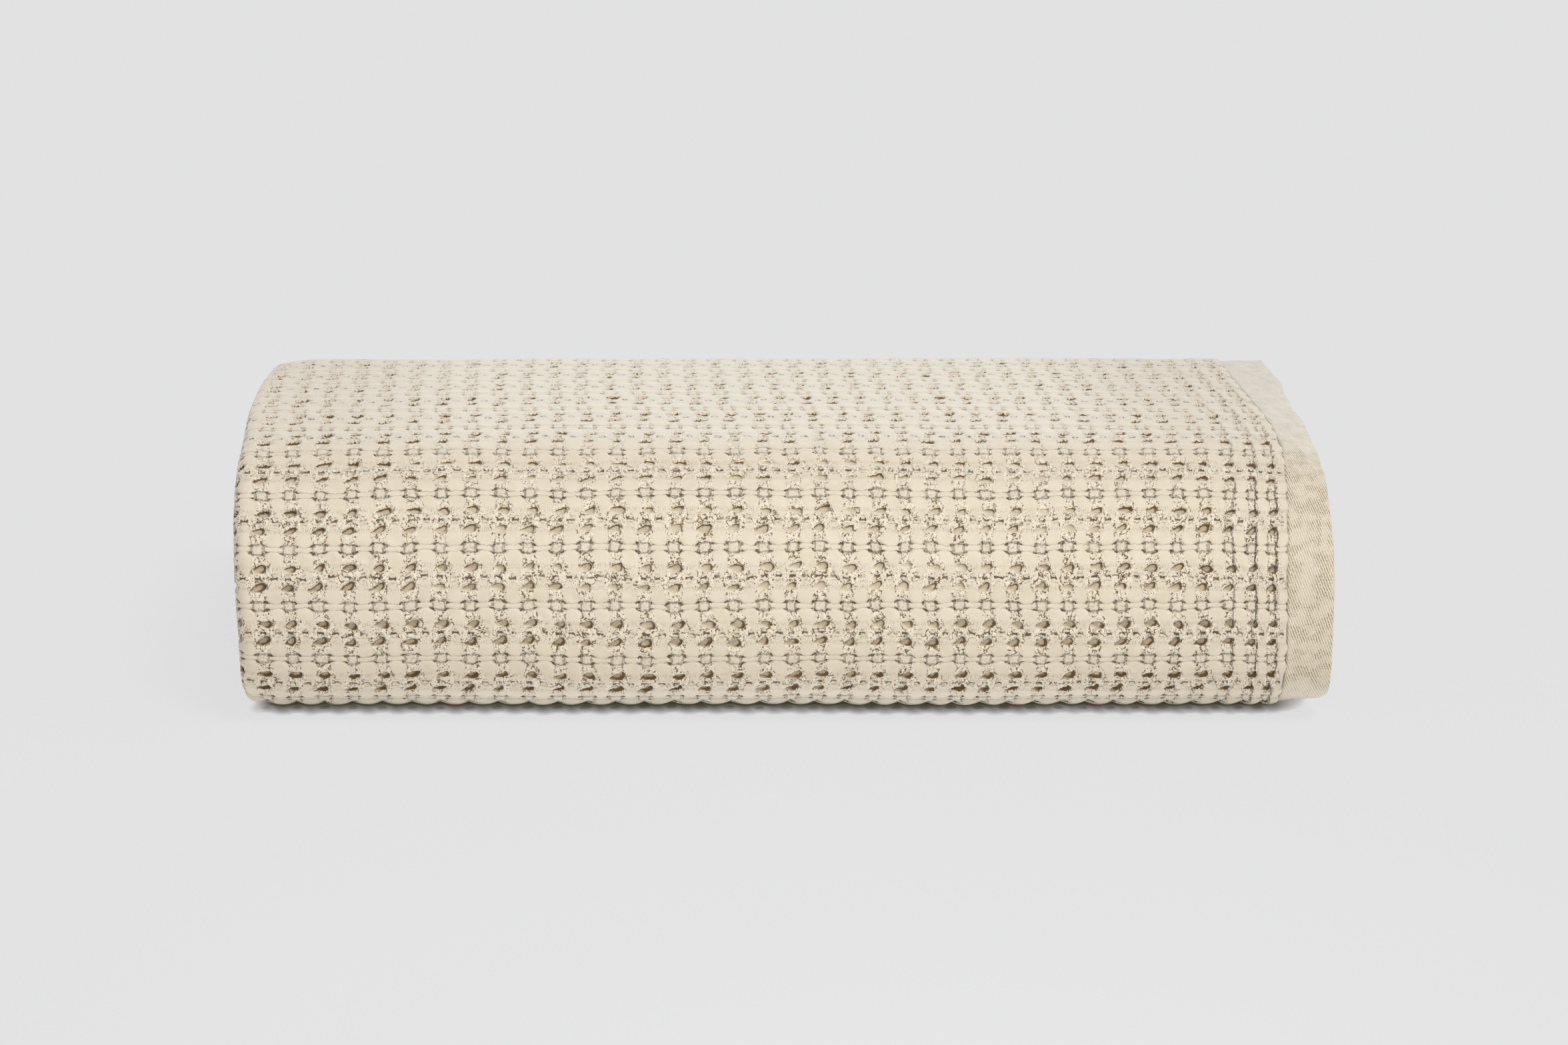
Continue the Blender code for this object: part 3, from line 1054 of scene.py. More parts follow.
@dataclass
class TailHem:
    """The hem across the blanket's end, on one ply of the strip's loose end."""

    cloth: OuterCloth
    name: str
    offset: float
    left: float = -0.283
    section: HemSection = field(default_factory=lambda: HemSection(top_points=5, below_points=3))
    step: float = 0.012
    pucker: float = 0.0005
    # How dark the painted shade is on the hem's side away from its outer edge.
    shade_strength: float = 0.3

    def build(self, material: Material) -> None:
        """Build the hem from the left fold to the right hem."""
        cloth, line, section = self.cloth, self.cloth.line, self.section
        right = float(cloth.hem_line(np.array(EDGE_STATIONS[0].climb * MM)))
        x = np.linspace(self.left, right, int((right - self.left) / self.step))[:, None]
        shares, levels = section.points()
        y = line.flat_run + line.tail - section.width + section.across(shares)
        level = self.offset + (0.5 - levels) * section.thickness
        noise = SoftNoise(37).at(x / 0.05 + 10 * self.offset / MM, shares * 1.5)
        wave = self.pucker * noise * np.clip(shares, 0.0, 1.0)
        places = cloth.settling.apply(line, x, y, line.z[-1] - level + wave)
        # Painted shade, darkest away from the hem's outer edge, deeper in the roll.
        hollow_shade = self.shade_strength * (1.0 - np.clip(shares, 0.0, 1.0))
        section.sheet(self.name, places, x, hollow_shade, material)


class Wiring:
    """Adds nodes to a tree and joins them, so that a formula reads in one line."""

    def __init__(self, tree: NodeTree) -> None:
        """Hold the tree's nodes and links."""
        self.nodes, self.links = tree.nodes, tree.links

    def feed(self, socket: Socket, value: object) -> None:
        """Join a socket to another one, or give it a constant."""
        if isinstance(value, Socket):
            self.links.new(value, socket)
        else:
            socket.default_value = value

    def math(self, operation: str, *values: object, clamp: bool = False) -> Socket:
        """Return the outcome of a Math node.

        Args:
            operation: the node's operation.
            values: sockets or numbers, in the node's order.
            clamp: whether the outcome is held between 0 and 1.

        Returns:
            The node's output.
        """
        node = self.nodes.new("ShaderNodeMath")
        node.operation = operation
        node.use_clamp = clamp
        for socket, value in zip(node.inputs, values):
            self.feed(socket, value)
        return node.outputs[0]

    def times(self, first: object, *others: object) -> Socket:
        """Return the product of some values."""
        for other in others:
            first = self.math("MULTIPLY", first, other)
        return first

    def largest(self, first: object, *others: object) -> Socket:
        """Return the largest of some values."""
        for other in others:
            first = self.math("MAXIMUM", first, other)
        return first

    def scaled(self, value: object, by: object, plus: object) -> Socket:
        """Return a value times a second one, plus a third."""
        return self.math("MULTIPLY_ADD", value, by, plus)

    def off(self, value: object, middle: object) -> Socket:
        """Return how far a value is from a middle, either way."""
        return self.math("ABSOLUTE", self.math("SUBTRACT", value, middle))

    def step(self, value: object, start: float, end: float) -> Socket:
        """Return a smooth step from 0 at start to 1 at end, either way round."""
        node = self.nodes.new("ShaderNodeMapRange")
        node.interpolation_type = "SMOOTHSTEP"
        flipped = end < start
        self.feed(node.inputs["Value"], value)
        self.feed(node.inputs["From Min"], min(start, end))
        self.feed(node.inputs["From Max"], max(start, end))
        self.feed(node.inputs["To Min"], 1.0 if flipped else 0.0)
        self.feed(node.inputs["To Max"], 0.0 if flipped else 1.0)
        return node.outputs["Result"]

    def noise(self, place: Socket, scale: float, detail: float = 1.0, output: str = "Fac") -> Socket:
        """Return an output of a Noise Texture node."""
        node = self.nodes.new("ShaderNodeTexNoise")
        self.feed(node.inputs["Vector"], place)
        self.feed(node.inputs["Scale"], scale)
        self.feed(node.inputs["Detail"], detail)
        return node.outputs[output]

    def shaken(self, place: Socket, scale: float, reach: Triple) -> Socket:
        """Return places moved on by noise, from nothing to a reach each way."""
        node = self.nodes.new("ShaderNodeVectorMath")
        node.operation = "MULTIPLY_ADD"
        for socket, value in zip(node.inputs, (self.noise(place, scale, output="Color"), reach, place)):
            self.feed(socket, value)
        return node.outputs["Vector"]

    def mapped(self, place: Socket, scale: Triple = (1.0, 1.0, 1.0), turn: float = 0.0) -> Socket:
        """Return places scaled and turned in their plane."""
        node = self.nodes.new("ShaderNodeMapping")
        self.feed(node.inputs["Vector"], place)
        self.feed(node.inputs["Scale"], scale)
        self.feed(node.inputs["Rotation"], (0.0, 0.0, turn))
        return node.outputs["Vector"]

    def split(self, place: Socket) -> tuple[Socket, Socket]:
        """Return the X and Y of a place."""
        node = self.nodes.new("ShaderNodeSeparateXYZ")
        self.feed(node.inputs[0], place)
        return node.outputs["X"], node.outputs["Y"]

    def curve(self, value: object, points: tuple[Pair, ...]) -> Socket:
        """Return a value read off a curve through points between 0 and 1."""
        node = self.nodes.new("ShaderNodeFloatCurve")
        self.feed(node.inputs["Value"], value)
        line = node.mapping.curves[0]
        line.points[0].location, line.points[1].location = points[0], points[-1]
        for point in points[1:-1]:
            line.points.new(*point)
        node.mapping.update()
        return node.outputs["Value"]

    def mix(self, factor: object, first: Socket | Triple, second: Triple) -> Socket:
        """Return a mix of a tone and a colour."""
        node = self.nodes.new("ShaderNodeMix")
        node.data_type = "RGBA"
        self.feed(node.inputs["Factor"], factor)
        self.feed(node.inputs["A"], first if isinstance(first, Socket) else (*first, 1.0))
        self.feed(node.inputs["B"], (*second, 1.0))
        return node.outputs["Result"]

    def sheen_veil(self, tone: Socket, pale: Triple, most: object) -> Socket:
        """Return a tone with a painted sheen, paler where the cloth is seen at a slant, as light off loose
        fibres makes it.

        Args:
            tone: the tone seen from straight ahead.
            pale: the painted sheen's colour, that of light off the fibres.
            most: the share of it at a steep slant.

        Returns:
            The mixed tone.
        """
        slant = self.nodes.new("ShaderNodeLayerWeight")
        slant.inputs["Blend"].default_value = 0.5
        return self.mix(self.times(self.step(slant.outputs["Facing"], 0.25, 0.95), most), tone, pale)

    def attribute(self, name: str) -> Socket:
        """Return a value painted on the mesh."""
        node = self.nodes.new("ShaderNodeAttribute")
        node.attribute_name = name
        return node.outputs["Fac"]

    def drawn(self, pattern: NodeTree, place: Socket) -> bpy.types.NodeOutputs:
        """Add a node group that draws a pattern, and return its outputs."""
        node = self.nodes.new("ShaderNodeGroup")
        node.node_tree = pattern
        self.feed(node.inputs["Place"], place)
        return node.outputs

    def bump(self, height: Socket, strength: float, distance: float) -> Socket:
        """Return the normals of a finely raised face."""
        node = self.nodes.new("ShaderNodeBump")
        self.feed(node.inputs["Strength"], strength)
        self.feed(node.inputs["Distance"], distance)
        self.feed(node.inputs["Height"], height)
        return node.outputs["Normal"]


def new_group(name: str, outputs: tuple[str, ...]) -> tuple[NodeTree, Wiring, Socket, Node]:
    """Return an empty node group that reads a place.

    Args:
        name: the group's name.
        outputs: the names of the values that it puts out.

    Returns:
        The group, its wiring, the place that it reads and the node that takes its outputs.
    """
    group = bpy.data.node_groups.new(name, "ShaderNodeTree")
    group.interface.new_socket("Place", in_out="INPUT", socket_type="NodeSocketVector")
    for label in outputs:
        group.interface.new_socket(label, in_out="OUTPUT", socket_type="NodeSocketFloat")
    wire = Wiring(group)
    given, result = wire.nodes.new("NodeGroupInput"), wire.nodes.new("NodeGroupOutput")
    return group, wire, given.outputs["Place"], result


def new_finish(name: str, roughness: float, sheen: float) -> tuple[Material, Wiring, Node]:
    """Return a matt cloth material, its wiring and its shader."""
    material = bpy.data.materials.new(name)
    material.use_nodes = True
    wire = Wiring(material.node_tree)
    shader = wire.nodes["Principled BSDF"]
    shader.inputs["Roughness"].default_value = roughness
    shader.inputs["Sheen Weight"].default_value = sheen
    shader.inputs["Specular IOR Level"].default_value = 0.15
    return material, wire, shader


@dataclass(frozen=True)
class Yarn:
    """Fine yarn grain and curled strands, as both finishes draw them, in millimetres."""

    grain_scale: float = 1.7
    cloud_scale: float = 0.11
    bend_scale: float = 0.45
    bend: float = 2.0
    curl_scale: float = 0.72
    curl_stretch: Triple = (1.0, 0.72, 1.0)
    curl_turn: float = math.radians(25)
    strand_at: float = 0.40  # a loop's strand, from its middle
    strand_edge: Pair = (0.19, 0.03)
    between_loops: Pair = (0.60, 0.68)
    inside_loops: Pair = (0.23, 0.15)
    broken: Pair = (0.43, 0.53)

    def group(self) -> NodeTree:
        """Return the group that draws the yarn.

        Returns:
            A group with the input Place and the outputs Grain, Strand (how high on a strand),
            Gap (painted shade between and inside loops) and Cloud, all from 0 to 1.
        """
        group, wire, place, result = new_group("yarn", ("Grain", "Strand", "Gap", "Cloud"))
        curls = wire.nodes.new("ShaderNodeTexVoronoi")
        bent = wire.shaken(place, self.bend_scale, (self.bend, self.bend, 0.0))
        wire.feed(curls.inputs["Vector"], wire.mapped(bent, self.curl_stretch, self.curl_turn))
        wire.feed(curls.inputs["Scale"], self.curl_scale)
        spread = curls.outputs["Distance"]
        gaps = wire.largest(wire.step(spread, *self.between_loops), wire.step(spread, *self.inside_loops))
        broken = wire.step(wire.noise(place, 1.0), *self.broken)
        wire.feed(result.inputs["Grain"], wire.noise(place, self.grain_scale))
        wire.feed(result.inputs["Strand"], wire.step(wire.off(spread, self.strand_at), *self.strand_edge))
        wire.feed(result.inputs["Gap"], wire.times(gaps, broken))
        wire.feed(result.inputs["Cloud"], wire.noise(place, self.cloud_scale, 3.0))
        return group


@dataclass(frozen=True)
class WaffleLines:
    """The thin dark lines of the weave, mostly painted shade, in millimetres from the nearest knot."""

    width: float = CELL_WIDTH
    length: float = CELL_LENGTH
    wobble: float = 1.1
    height_scale: float = 5.0
    collar_half: Pair = (1.9, 1.75)
    collar_radius: float = 0.85
    corner_shade_at: Pair = (3.2, 1.95)
    corner_shade_half: Pair = (1.35, 0.55)
    corner_shade_lean: float = 0.4
    cord_line: tuple[Pair, ...] = (
        (0.0, 0.54), (0.30, 0.52), (0.42, 0.44), (0.55, 0.36), (0.72, 0.31), (1.0, 0.30),
    )
    cord_dark: tuple[Pair, ...] = (
        (0.0, 0.0), (0.26, 0.0), (0.36, 0.9), (0.50, 0.9), (0.62, 0.55), (0.80, 0.28), (1.0, 0.18),
    )
    cord_thick: tuple[Pair, ...] = (
        (0.0, 0.10), (0.28, 0.12), (0.38, 0.22), (0.48, 0.18), (0.62, 0.09), (1.0, 0.06),
    )
    slit_half: float = 0.44
    slit_bow: float = 0.20
    slit_end: Pair = (1.75, 1.45)
    rung_at: float = 2.2
    crease_at: float = 0.4
    crease_sway: float = 5.0
    crease_columns: Pair = (4.3, 1.5)
    crease_rows: Pair = (8.0, 4.0)
    thread_pitch: float = 1.1
    comb_from: Pair = (8.3, 9.0)
    comb_to: Pair = (11.2, 10.4)
    top_rows: Pair = (7.0, 3.8)

    def cords(self, wire: Wiring, from_knot: Socket, from_cord: Socket) -> Socket:
        """Return the painted shade in the grooves on both sides of the cord between knots."""
        share = wire.math("DIVIDE", from_knot, self.width / 2)
        away = wire.off(from_cord, wire.times(wire.curve(share, self.cord_line), self.height_scale))
        thick = wire.times(wire.curve(share, self.cord_thick), self.height_scale)
        near = wire.math("SUBTRACT", 1.0, wire.math("DIVIDE", away, thick), clamp=True)
        return wire.times(wire.step(near, 0.15, 0.6), wire.curve(share, self.cord_dark))

    def collars(self, wire: Wiring, from_knot: Socket, from_cord: Socket) -> Socket:
        """Return the painted shade round each knot, a rounded square darkest at its corners."""
        past_side = wire.math("MAXIMUM", wire.math("SUBTRACT", from_knot, self.collar_half[0]), 0.0)
        past_end = wire.math("MAXIMUM", wire.math("SUBTRACT", from_cord, self.collar_half[1]), 0.0)
        squared = wire.scaled(past_side, past_side, wire.math("POWER", past_end, 2.0))
        ring = wire.step(wire.off(wire.math("SQRT", squared), self.collar_radius), 0.72, 0.36)
        corner = wire.step(wire.times(past_side, past_end), 0.02, 0.2)
        return wire.times(ring, wire.scaled(corner, 0.45, 0.55))

    def corner_shade(self, wire: Wiring, from_knot: Socket, from_cord: Socket) -> Socket:
        """Return the painted shade in the small hollows past each knot's corners."""
        past_knot = wire.math("SUBTRACT", from_knot, self.corner_shade_at[0])
        past_cord = wire.scaled(past_knot, self.corner_shade_lean, wire.math("SUBTRACT", from_cord, self.corner_shade_at[1]))
        squares = [
            wire.math("POWER", wire.math("DIVIDE", past, half), 2.0)
            for past, half in zip((past_knot, past_cord), self.corner_shade_half)
        ]
        return wire.step(wire.math("ADD", *squares), 1.3, 0.7)

    def slits(self, wire: Wiring, place: Socket, from_slit: Socket, off_row: Socket) -> Socket:
        """Return the painted shade in the slits of the plain row, some of which are closed."""
        bow = wire.scaled(wire.math("POWER", from_slit, 2.0), self.slit_bow, self.slit_half)
        open_here = wire.step(wire.math("DIVIDE", off_row, bow), 1.2, 0.8)
        some = wire.step(wire.noise(place, 0.22), 0.30, 0.55)
        return wire.times(open_here, wire.step(from_slit, *self.slit_end), some, 0.95)

    def rungs(self, wire: Wiring, from_slit: Socket, off_row: Socket) -> Socket:
        """Return the faint lines above and below each slit."""
        rung = wire.step(wire.off(off_row, self.rung_at), 0.45, 0.15)
        return wire.times(rung, wire.step(from_slit, 1.3, 0.8), 0.35)

    def creases(
        self, wire: Wiring, place: Socket, across: Socket, along: Socket, from_cord: Socket
    ) -> Socket:
        """Return the painted shade in the upright creases that sway beside the hem."""
        beside = wire.math("ADD", wire.math("WRAP", across, self.width / 2, -self.width / 2), self.crease_at)
        beside = wire.math("ABSOLUTE", wire.scaled(wire.noise(place, 0.11), self.crease_sway, beside))
        return wire.times(
            wire.step(beside, 0.80, 0.30),
            wire.step(across, *(self.width * column for column in self.crease_columns)),
            wire.step(from_cord, 12.0, 10.0),
            wire.step(along, *(self.length * row for row in self.crease_rows)),
        )

    def comb(self, wire: Wiring, across: Socket, from_knot: Socket, from_cord: Socket) -> Socket:
        """Return the threads that show side by side past each pad."""
        thread = wire.step(wire.math("PINGPONG", across, self.thread_pitch / 2), 0.26, 0.08)
        beyond_pad = wire.times(wire.step(from_cord, *self.comb_from), wire.step(from_cord, *self.comb_to))
        return wire.times(beyond_pad, wire.step(from_knot, 2.6, 4.2), thread, 0.14)

    def group(self) -> NodeTree:
        """Return the group that draws the lines.

        Returns:
            A group with the input Place, in millimetres, and the output Dark, from 0 to 1.
        """
        group, wire, place, result = new_group("waffle_lines", ("Dark",))
        shaken = wire.split(wire.shaken(place, 0.50, (self.wobble * 2.0,) * 3))
        across, along = (wire.math("SUBTRACT", value, self.wobble) for value in shaken)
        from_knot = wire.math("PINGPONG", across, self.width / 2)
        from_cord = wire.math("PINGPONG", along, self.length / 2)
        from_slit = wire.math("PINGPONG", across, self.width / 4)
        off_row = wire.off(self.length / 2, from_cord)
        patchy = wire.noise(place, 0.8)
        lines = wire.largest(
            self.cords(wire, from_knot, from_cord),
            self.collars(wire, from_knot, from_cord),
            self.rungs(wire, from_slit, off_row),
            wire.times(self.corner_shade(wire, from_knot, from_cord), wire.step(patchy, 0.36, 0.50)),
            self.creases(wire, place, across, along, from_cord),
            self.comb(wire, across, from_knot, from_cord),
        )
        # These lines are half as strong over the top, and broken and fainter in patches.
        on_front = wire.step(along, *(self.length * row for row in self.top_rows))
        broken = wire.scaled(wire.step(patchy, 0.33, 0.52), 0.8, 0.2)
        fainter = wire.scaled(wire.step(wire.noise(place, 0.07), 0.36, 0.56), 0.25, 0.85)
        lines = wire.times(lines, wire.scaled(on_front, 0.5, 0.5), wire.times(broken, fainter))
        wire.feed(result.inputs["Dark"], wire.largest(lines, self.slits(wire, place, from_slit, off_row)))
        return group


@dataclass(frozen=True)
class WaffleFinish:
    """Washed cotton in a waffle weave: matt, warm oatmeal, rougher in its hollows, with painted shade,
    highlights and sheen.

    Columns count from the hem and rows from the lowest knots, as in the UV map.
    """

    pad: Triple = (0.635, 0.560, 0.443)
    cloud: Triple = (0.600, 0.522, 0.402)
    # Painted shade between and inside the curled loops.
    gap: Triple = (0.13, 0.082, 0.034)
    # Painted sheen, paler where the cloth is seen at a slant.
    sheen_veil: Triple = (0.905, 0.860, 0.745)
    # Painted highlight on the crowns of the curled strands.
    strand: Triple = (0.755, 0.675, 0.545)
    # Painted shade deep in the weave and on the pits' floors.
    hollow_shade: Triple = (0.36, 0.285, 0.182)
    # Painted shade of the weave's lines, its slits and the pits' upper right walls.
    dark: Triple = (0.10, 0.058, 0.016)
    roughness: float = 0.95
    sheen: float = 0.3
    front_rows: Pair = (6.5, 3.0)
    low_rows: Pair = (2.8, 0.4)
    hem_columns: Pair = (10.0, 4.0)
    left_columns: Pair = (29.0, 35.0)
    rim: Pair = (1.04, 0.92)
    # Where the painted shadow under each pit's upper right wall lies.
    wall_inside: Pair = (0.38, 0.66)
    wall_shade: Pair = (0.27, 0.50)
    bump_height: float = 0.0008

    def make(self, yarn: NodeTree, lines: NodeTree) -> Material:
        """Return the finish's material.

        Args:
            yarn: the group that draws yarn.
            lines: the group that draws the weave's dark lines.

        Returns:
            The material.
        """
        material, wire, shader = new_finish("waffle_cotton_finish", self.roughness, self.sheen)
        cells = wire.nodes.new("ShaderNodeUVMap").outputs["UV"]
        place = wire.mapped(cells, (CELL_WIDTH, CELL_LENGTH, 1.0))
        threads, line_shade = wire.drawn(yarn, place), wire.drawn(lines, place)["Dark"]
        grain, strand = threads["Grain"], threads["Strand"]
        column, row = wire.split(cells)
        on_front = wire.step(row, *self.front_rows)
        near_ends = wire.largest(wire.step(column, *self.hem_columns), wire.step(column, *self.left_columns))
        # Near the ends and along the lowest rows the pits' painted shade is stronger.
        slack = wire.largest(wire.times(near_ends, 0.6), wire.step(row, *self.low_rows))

        # Painted shadow under each pit's upper right wall.
        shade = wire.scaled(slack, 0.25, wire.attribute("shade"))
        rim = wire.scaled(grain, 0.4, wire.math("SUBTRACT", wire.attribute("pit"), 0.55))
        rim = wire.scaled(wire.noise(place, 0.35, 2.0), 0.7, rim)
        in_pit = wire.step(rim, *self.rim)
        wall = wire.step(wire.scaled(slack, 0.3, rim), *self.wall_inside)
        wall = wire.times(wall, wire.step(shade, *self.wall_shade), in_pit)
        # Painted shade on the pits' floors, weaker over the top and patchy from pit to pit.
        pit_shade = wire.times(
            in_pit,
            wire.step(shade, 0.0, 0.42),
            wire.scaled(slack, 0.30, 0.66),
            wire.step(wire.noise(place, 0.13), 0.12, 0.45),
            wire.scaled(on_front, 0.7, 0.3),
        )
        # Painted shade, deep in the weave or on a pit's floor.
        sunk = wire.largest(wire.times(wire.attribute("hollow_shade"), 0.5), wire.times(pit_shade, 0.95))
        # Painted shade of the weave's lines and under the pits' upper right walls.
        dark = wire.math("MAXIMUM", line_shade, wall, clamp=True)
        ragged = wire.scaled(wire.math("SUBTRACT", grain, 0.5), 0.9, wire.attribute("fuzz"))
        fuzz = wire.times(wire.step(ragged, 0.15, 0.75), wire.scaled(in_pit, -0.8, 1.0))
        # Painted shade between the curled loops, fainter over the top.
        open_yarn = wire.times(fuzz, threads["Gap"], wire.scaled(on_front, 0.65, 0.30))

        # The cloth's own mottling and its darker curled yarn, then a painted highlight on the strands'
        # crowns,
        # painted shade between the loops, deep in the weave, in the pits and along the lines, and a painted
        # sheen at a slant.
        tone = wire.mix(wire.step(threads["Cloud"], 0.35, 0.7), self.pad, self.cloud)
        tone = wire.mix(wire.times(fuzz, 0.3), tone, self.cloud)
        tone = wire.mix(wire.times(fuzz, strand, 0.8), tone, self.strand)
        tone = wire.mix(open_yarn, tone, self.gap)
        tone = wire.mix(sunk, tone, self.hollow_shade)
        tone = wire.mix(wire.times(dark, 0.95), tone, self.dark)
        tone = wire.sheen_veil(tone, self.sheen_veil, wire.scaled(near_ends, -0.30, 0.76))
        wire.feed(shader.inputs["Base Color"], tone)

        rough = wire.times(grain, wire.scaled(fuzz, 0.10, 0.16))
        height = wire.scaled(line_shade, -0.9, wire.scaled(wire.times(strand, fuzz), 0.15, rough))
        wire.feed(shader.inputs["Normal"], wire.bump(height, 1.0, self.bump_height))
        return material


@dataclass(frozen=True)
class TwillFinish:
    """The hem's plain twill: fine slanting ribs, a little yellower than the weave, with painted shade and
    sheen.
    """

    rib: Triple = (0.665, 0.587, 0.463)
    # Painted shade in the grooves between the ribs.
    gap: Triple = (0.29, 0.233, 0.150)
    # Painted sheen, paler where the hem is seen at a slant.
    sheen_veil: Triple = (0.90, 0.865, 0.79)
    # Painted shade where the hem meets the weave or lies deeper in the roll.
    hollow_shade: Triple = (0.06, 0.042, 0.024)
    roughness: float = 0.93
    sheen: float = 0.2
    lean: float = math.radians(-20)
    rib_scale: float = 0.242
    rib_bend: float = 1.6
    bead_scale: float = 1.15
    # How much painted sheen the hem takes at a steep slant.
    sheen_veil_share: float = 0.60
    bump_height: float = 0.0003

    def make(self, yarn: NodeTree) -> Material:
        """Return the finish's material, given the group that draws yarn."""
        material, wire, shader = new_finish("twill_hem_finish", self.roughness, self.sheen)
        place = wire.nodes.new("ShaderNodeUVMap").outputs["UV"]
        ribs = wire.nodes.new("ShaderNodeTexWave")
        wire.feed(ribs.inputs["Vector"], wire.mapped(place, turn=self.lean))
        wire.feed(ribs.inputs["Scale"], self.rib_scale)
        wire.feed(ribs.inputs["Distortion"], self.rib_bend)
        wire.feed(ribs.inputs["Detail"], 2.0)
        wire.feed(ribs.inputs["Detail Scale"], 0.6)
        beads = wire.noise(place, self.bead_scale)
        raised = wire.scaled(beads, 2.0, wire.math("SUBTRACT", ribs.outputs["Fac"], 1.0))
        sharper = wire.scaled(wire.step(wire.drawn(yarn, place)["Cloud"], 0.40, 0.60), 0.65, 0.35)
        # Painted shade between the ribs, sharper in patches, then painted shade at the hem's joins and a
        # painted sheen.
        between = wire.times(wire.step(raised, 0.75, 0.0), sharper)
        tone = wire.mix(between, self.rib, self.gap)
        tone = wire.mix(wire.attribute("hollow_shade"), tone, self.hollow_shade)
        wire.feed(shader.inputs["Base Color"], wire.sheen_veil(tone, self.sheen_veil, self.sheen_veil_share))
        wire.feed(shader.inputs["Normal"], wire.bump(raised, 0.7, self.bump_height))
        return material


class Tone(Enum):
    """The studio's tones: its even backdrop and room light, and the painted contact shadow."""

    BACKDROP = (0.745, 0.745, 0.748)
    ROOM = (0.48, 0.48, 0.485)
    # The painted contact shadow's darkest colour.
    CONTACT_SHADOW = (0.045, 0.032, 0.014)


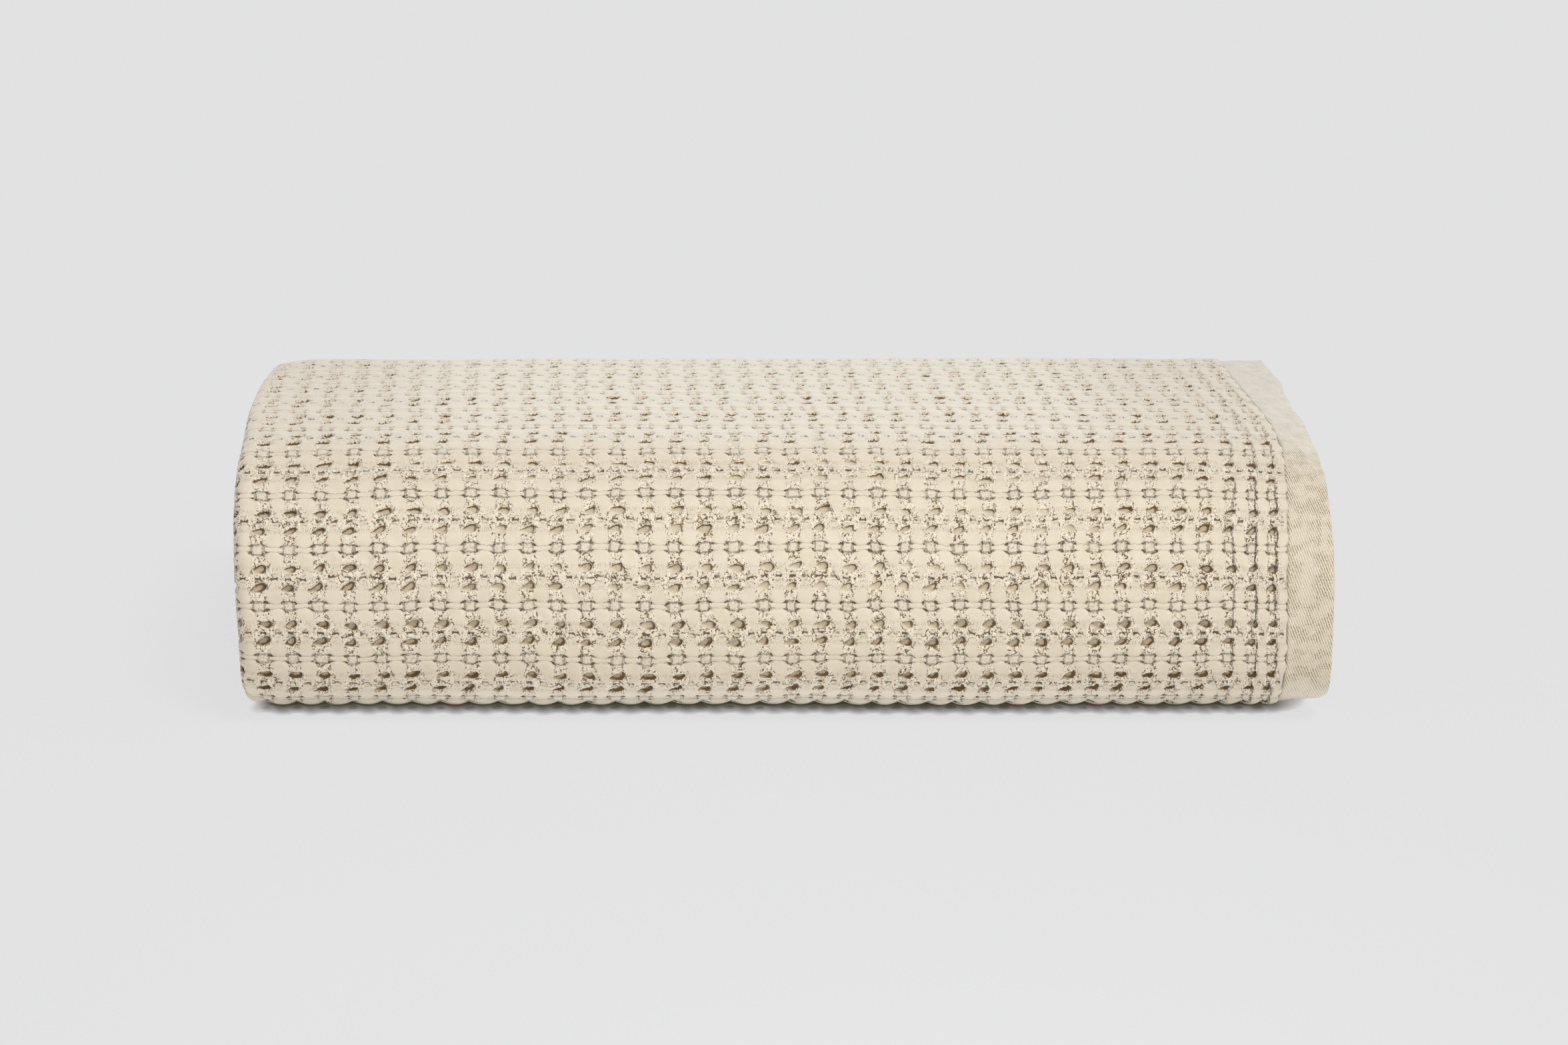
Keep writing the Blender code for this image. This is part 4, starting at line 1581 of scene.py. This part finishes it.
@dataclass
class Studio:
    """The pale floor, the light and the camera."""

    focal_pixels: float = 7680.0
    picture_width: float = 2352.0
    sensor: float = 36.0
    distance: float = 2.726
    elevation: float = math.radians(16.5)
    aim_height: float = 0.1173
    floor_size: float = 60.0
    sun_energy: float = 1.8
    sun_from: Triple = (0.46, -0.50, 1.2)
    sun_angle: float = math.radians(22)
    panel_power: float = 1.8
    panel_size: float = 0.5
    panel_at: Triple = (0.08, -0.78, 0.40)
    floor_tone: float = 0.95
    # How far the painted contact shadow reaches.
    contact_shadow_reach: float = 0.007
    glow_share: float = 0.93

    def build(self, front: float) -> None:
        """Build the studio round a roll whose front is at y = front."""
        self.add_floor()
        self.add_light()
        self.add_camera(front)

    def add_floor(self) -> None:
        """Add the floor: to the camera it glows evenly, and only a painted shadow under the roll's edge is
        seen.
        """
        bpy.ops.mesh.primitive_plane_add(size=self.floor_size, location=(0.0, 0.0, 0.0))
        floor = bpy.context.active_object
        floor.name = "floor"
        material = bpy.data.materials.new("pale_floor")
        material.use_nodes = True
        wire = Wiring(material.node_tree)
        shader = wire.nodes["Principled BSDF"]
        shader.inputs["Base Color"].default_value = (self.floor_tone,) * 3 + (1.0,)
        shader.inputs["Roughness"].default_value = 1.0
        shader.inputs["Specular IOR Level"].default_value = 0.0
        # Painted contact shadow: the camera sees the floor darker where the roll closes it in.
        near = wire.nodes.new("ShaderNodeAmbientOcclusion")
        near.inputs["Distance"].default_value = self.contact_shadow_reach
        open_share = wire.math("MULTIPLY_ADD", near.outputs["AO"], 1.3, -0.14, clamp=True)
        glow = wire.nodes.new("ShaderNodeEmission")
        wire.feed(glow.inputs["Color"], wire.mix(open_share, Tone.CONTACT_SHADOW.value, Tone.BACKDROP.value))
        ray = wire.nodes.new("ShaderNodeLightPath")
        blend = wire.nodes.new("ShaderNodeMixShader")
        wire.feed(blend.inputs["Fac"], wire.times(ray.outputs["Is Camera Ray"], self.glow_share))
        wire.feed(blend.inputs[1], shader.outputs["BSDF"])
        wire.feed(blend.inputs[2], glow.outputs["Emission"])
        wire.feed(wire.nodes["Material Output"].inputs["Surface"], blend.outputs["Shader"])
        floor.data.materials.append(material)

    def place(self, name: str, data: bpy.types.ID, at: Vector, facing: Vector) -> bpy.types.Object:
        """Add a lamp or a camera at a place, with its back to a direction."""
        thing = bpy.data.objects.new(name, data)
        thing.location = at
        thing.rotation_mode = "QUATERNION"
        thing.rotation_quaternion = facing.to_track_quat("Z", "Y")
        bpy.context.scene.collection.objects.link(thing)
        return thing

    def add_light(self) -> None:
        """Add the even room light and the soft light from above, in front and to the right."""
        world = bpy.data.worlds.new("studio")
        bpy.context.scene.world = world
        world.use_nodes = True
        world.node_tree.nodes["Background"].inputs["Color"].default_value = (*Tone.ROOM.value, 1.0)
        sun = bpy.data.lights.new("soft_sun", "SUN")
        sun.energy, sun.angle = self.sun_energy, self.sun_angle
        self.place("soft_sun", sun, Vector(), Vector(self.sun_from))
        panel = bpy.data.lights.new("near_panel", "AREA")
        panel.energy, panel.size = self.panel_power, self.panel_size
        self.place("near_panel", panel, Vector(self.panel_at), Vector(self.panel_at))

    def add_camera(self, front: float) -> None:
        """Add the camera, level sideways and looking slightly down at the front."""
        lens = bpy.data.cameras.new("camera")
        lens.sensor_width = self.sensor
        lens.lens = self.focal_pixels / self.picture_width * self.sensor
        lens.clip_end = 100.0
        away = Vector((0.0, -math.cos(self.elevation), math.sin(self.elevation)))
        at = Vector((0.0, front, self.aim_height)) + away * self.distance
        bpy.context.scene.camera = self.place("camera", lens, at, away)


def main() -> None:
    """Build the blanket's pieces, then the studio."""
    bpy.context.scene.view_settings.view_transform = "Standard"
    cloth, weave, yarn = OuterCloth(), Weave(), Yarn().group()
    waffle, twill = WaffleFinish().make(yarn, WaffleLines().group()), TwillFinish().make(yarn)
    OuterTurn(cloth, weave).build(waffle)
    OuterHem(cloth).build(twill)
    LeftFolds(cloth, weave).build(waffle)
    RightFolds(cloth, weave).build(waffle)
    line = cloth.line
    inner_end = float(line.lengths(line.outer_ply)[line.last_climb]) - INNER_HEM_SHORTER
    InnerHem(cloth, "inner_hem", line.outer_ply, inner_end, 0.0050).build(twill)
    second_end = float(line.lengths(line.inner_ply)[-1])
    InnerHem(cloth, "second_hem", line.inner_ply, second_end, 0.0060).build(twill)
    for number, offset in enumerate((line.outer_ply, line.inner_ply, -line.inner_ply, -line.outer_ply)):
        TailHem(cloth, f"end_hem_{number + 1}", offset).build(twill)
    Studio().build(line.shift - line.front_reach)


if __name__ == "__main__":
    main()
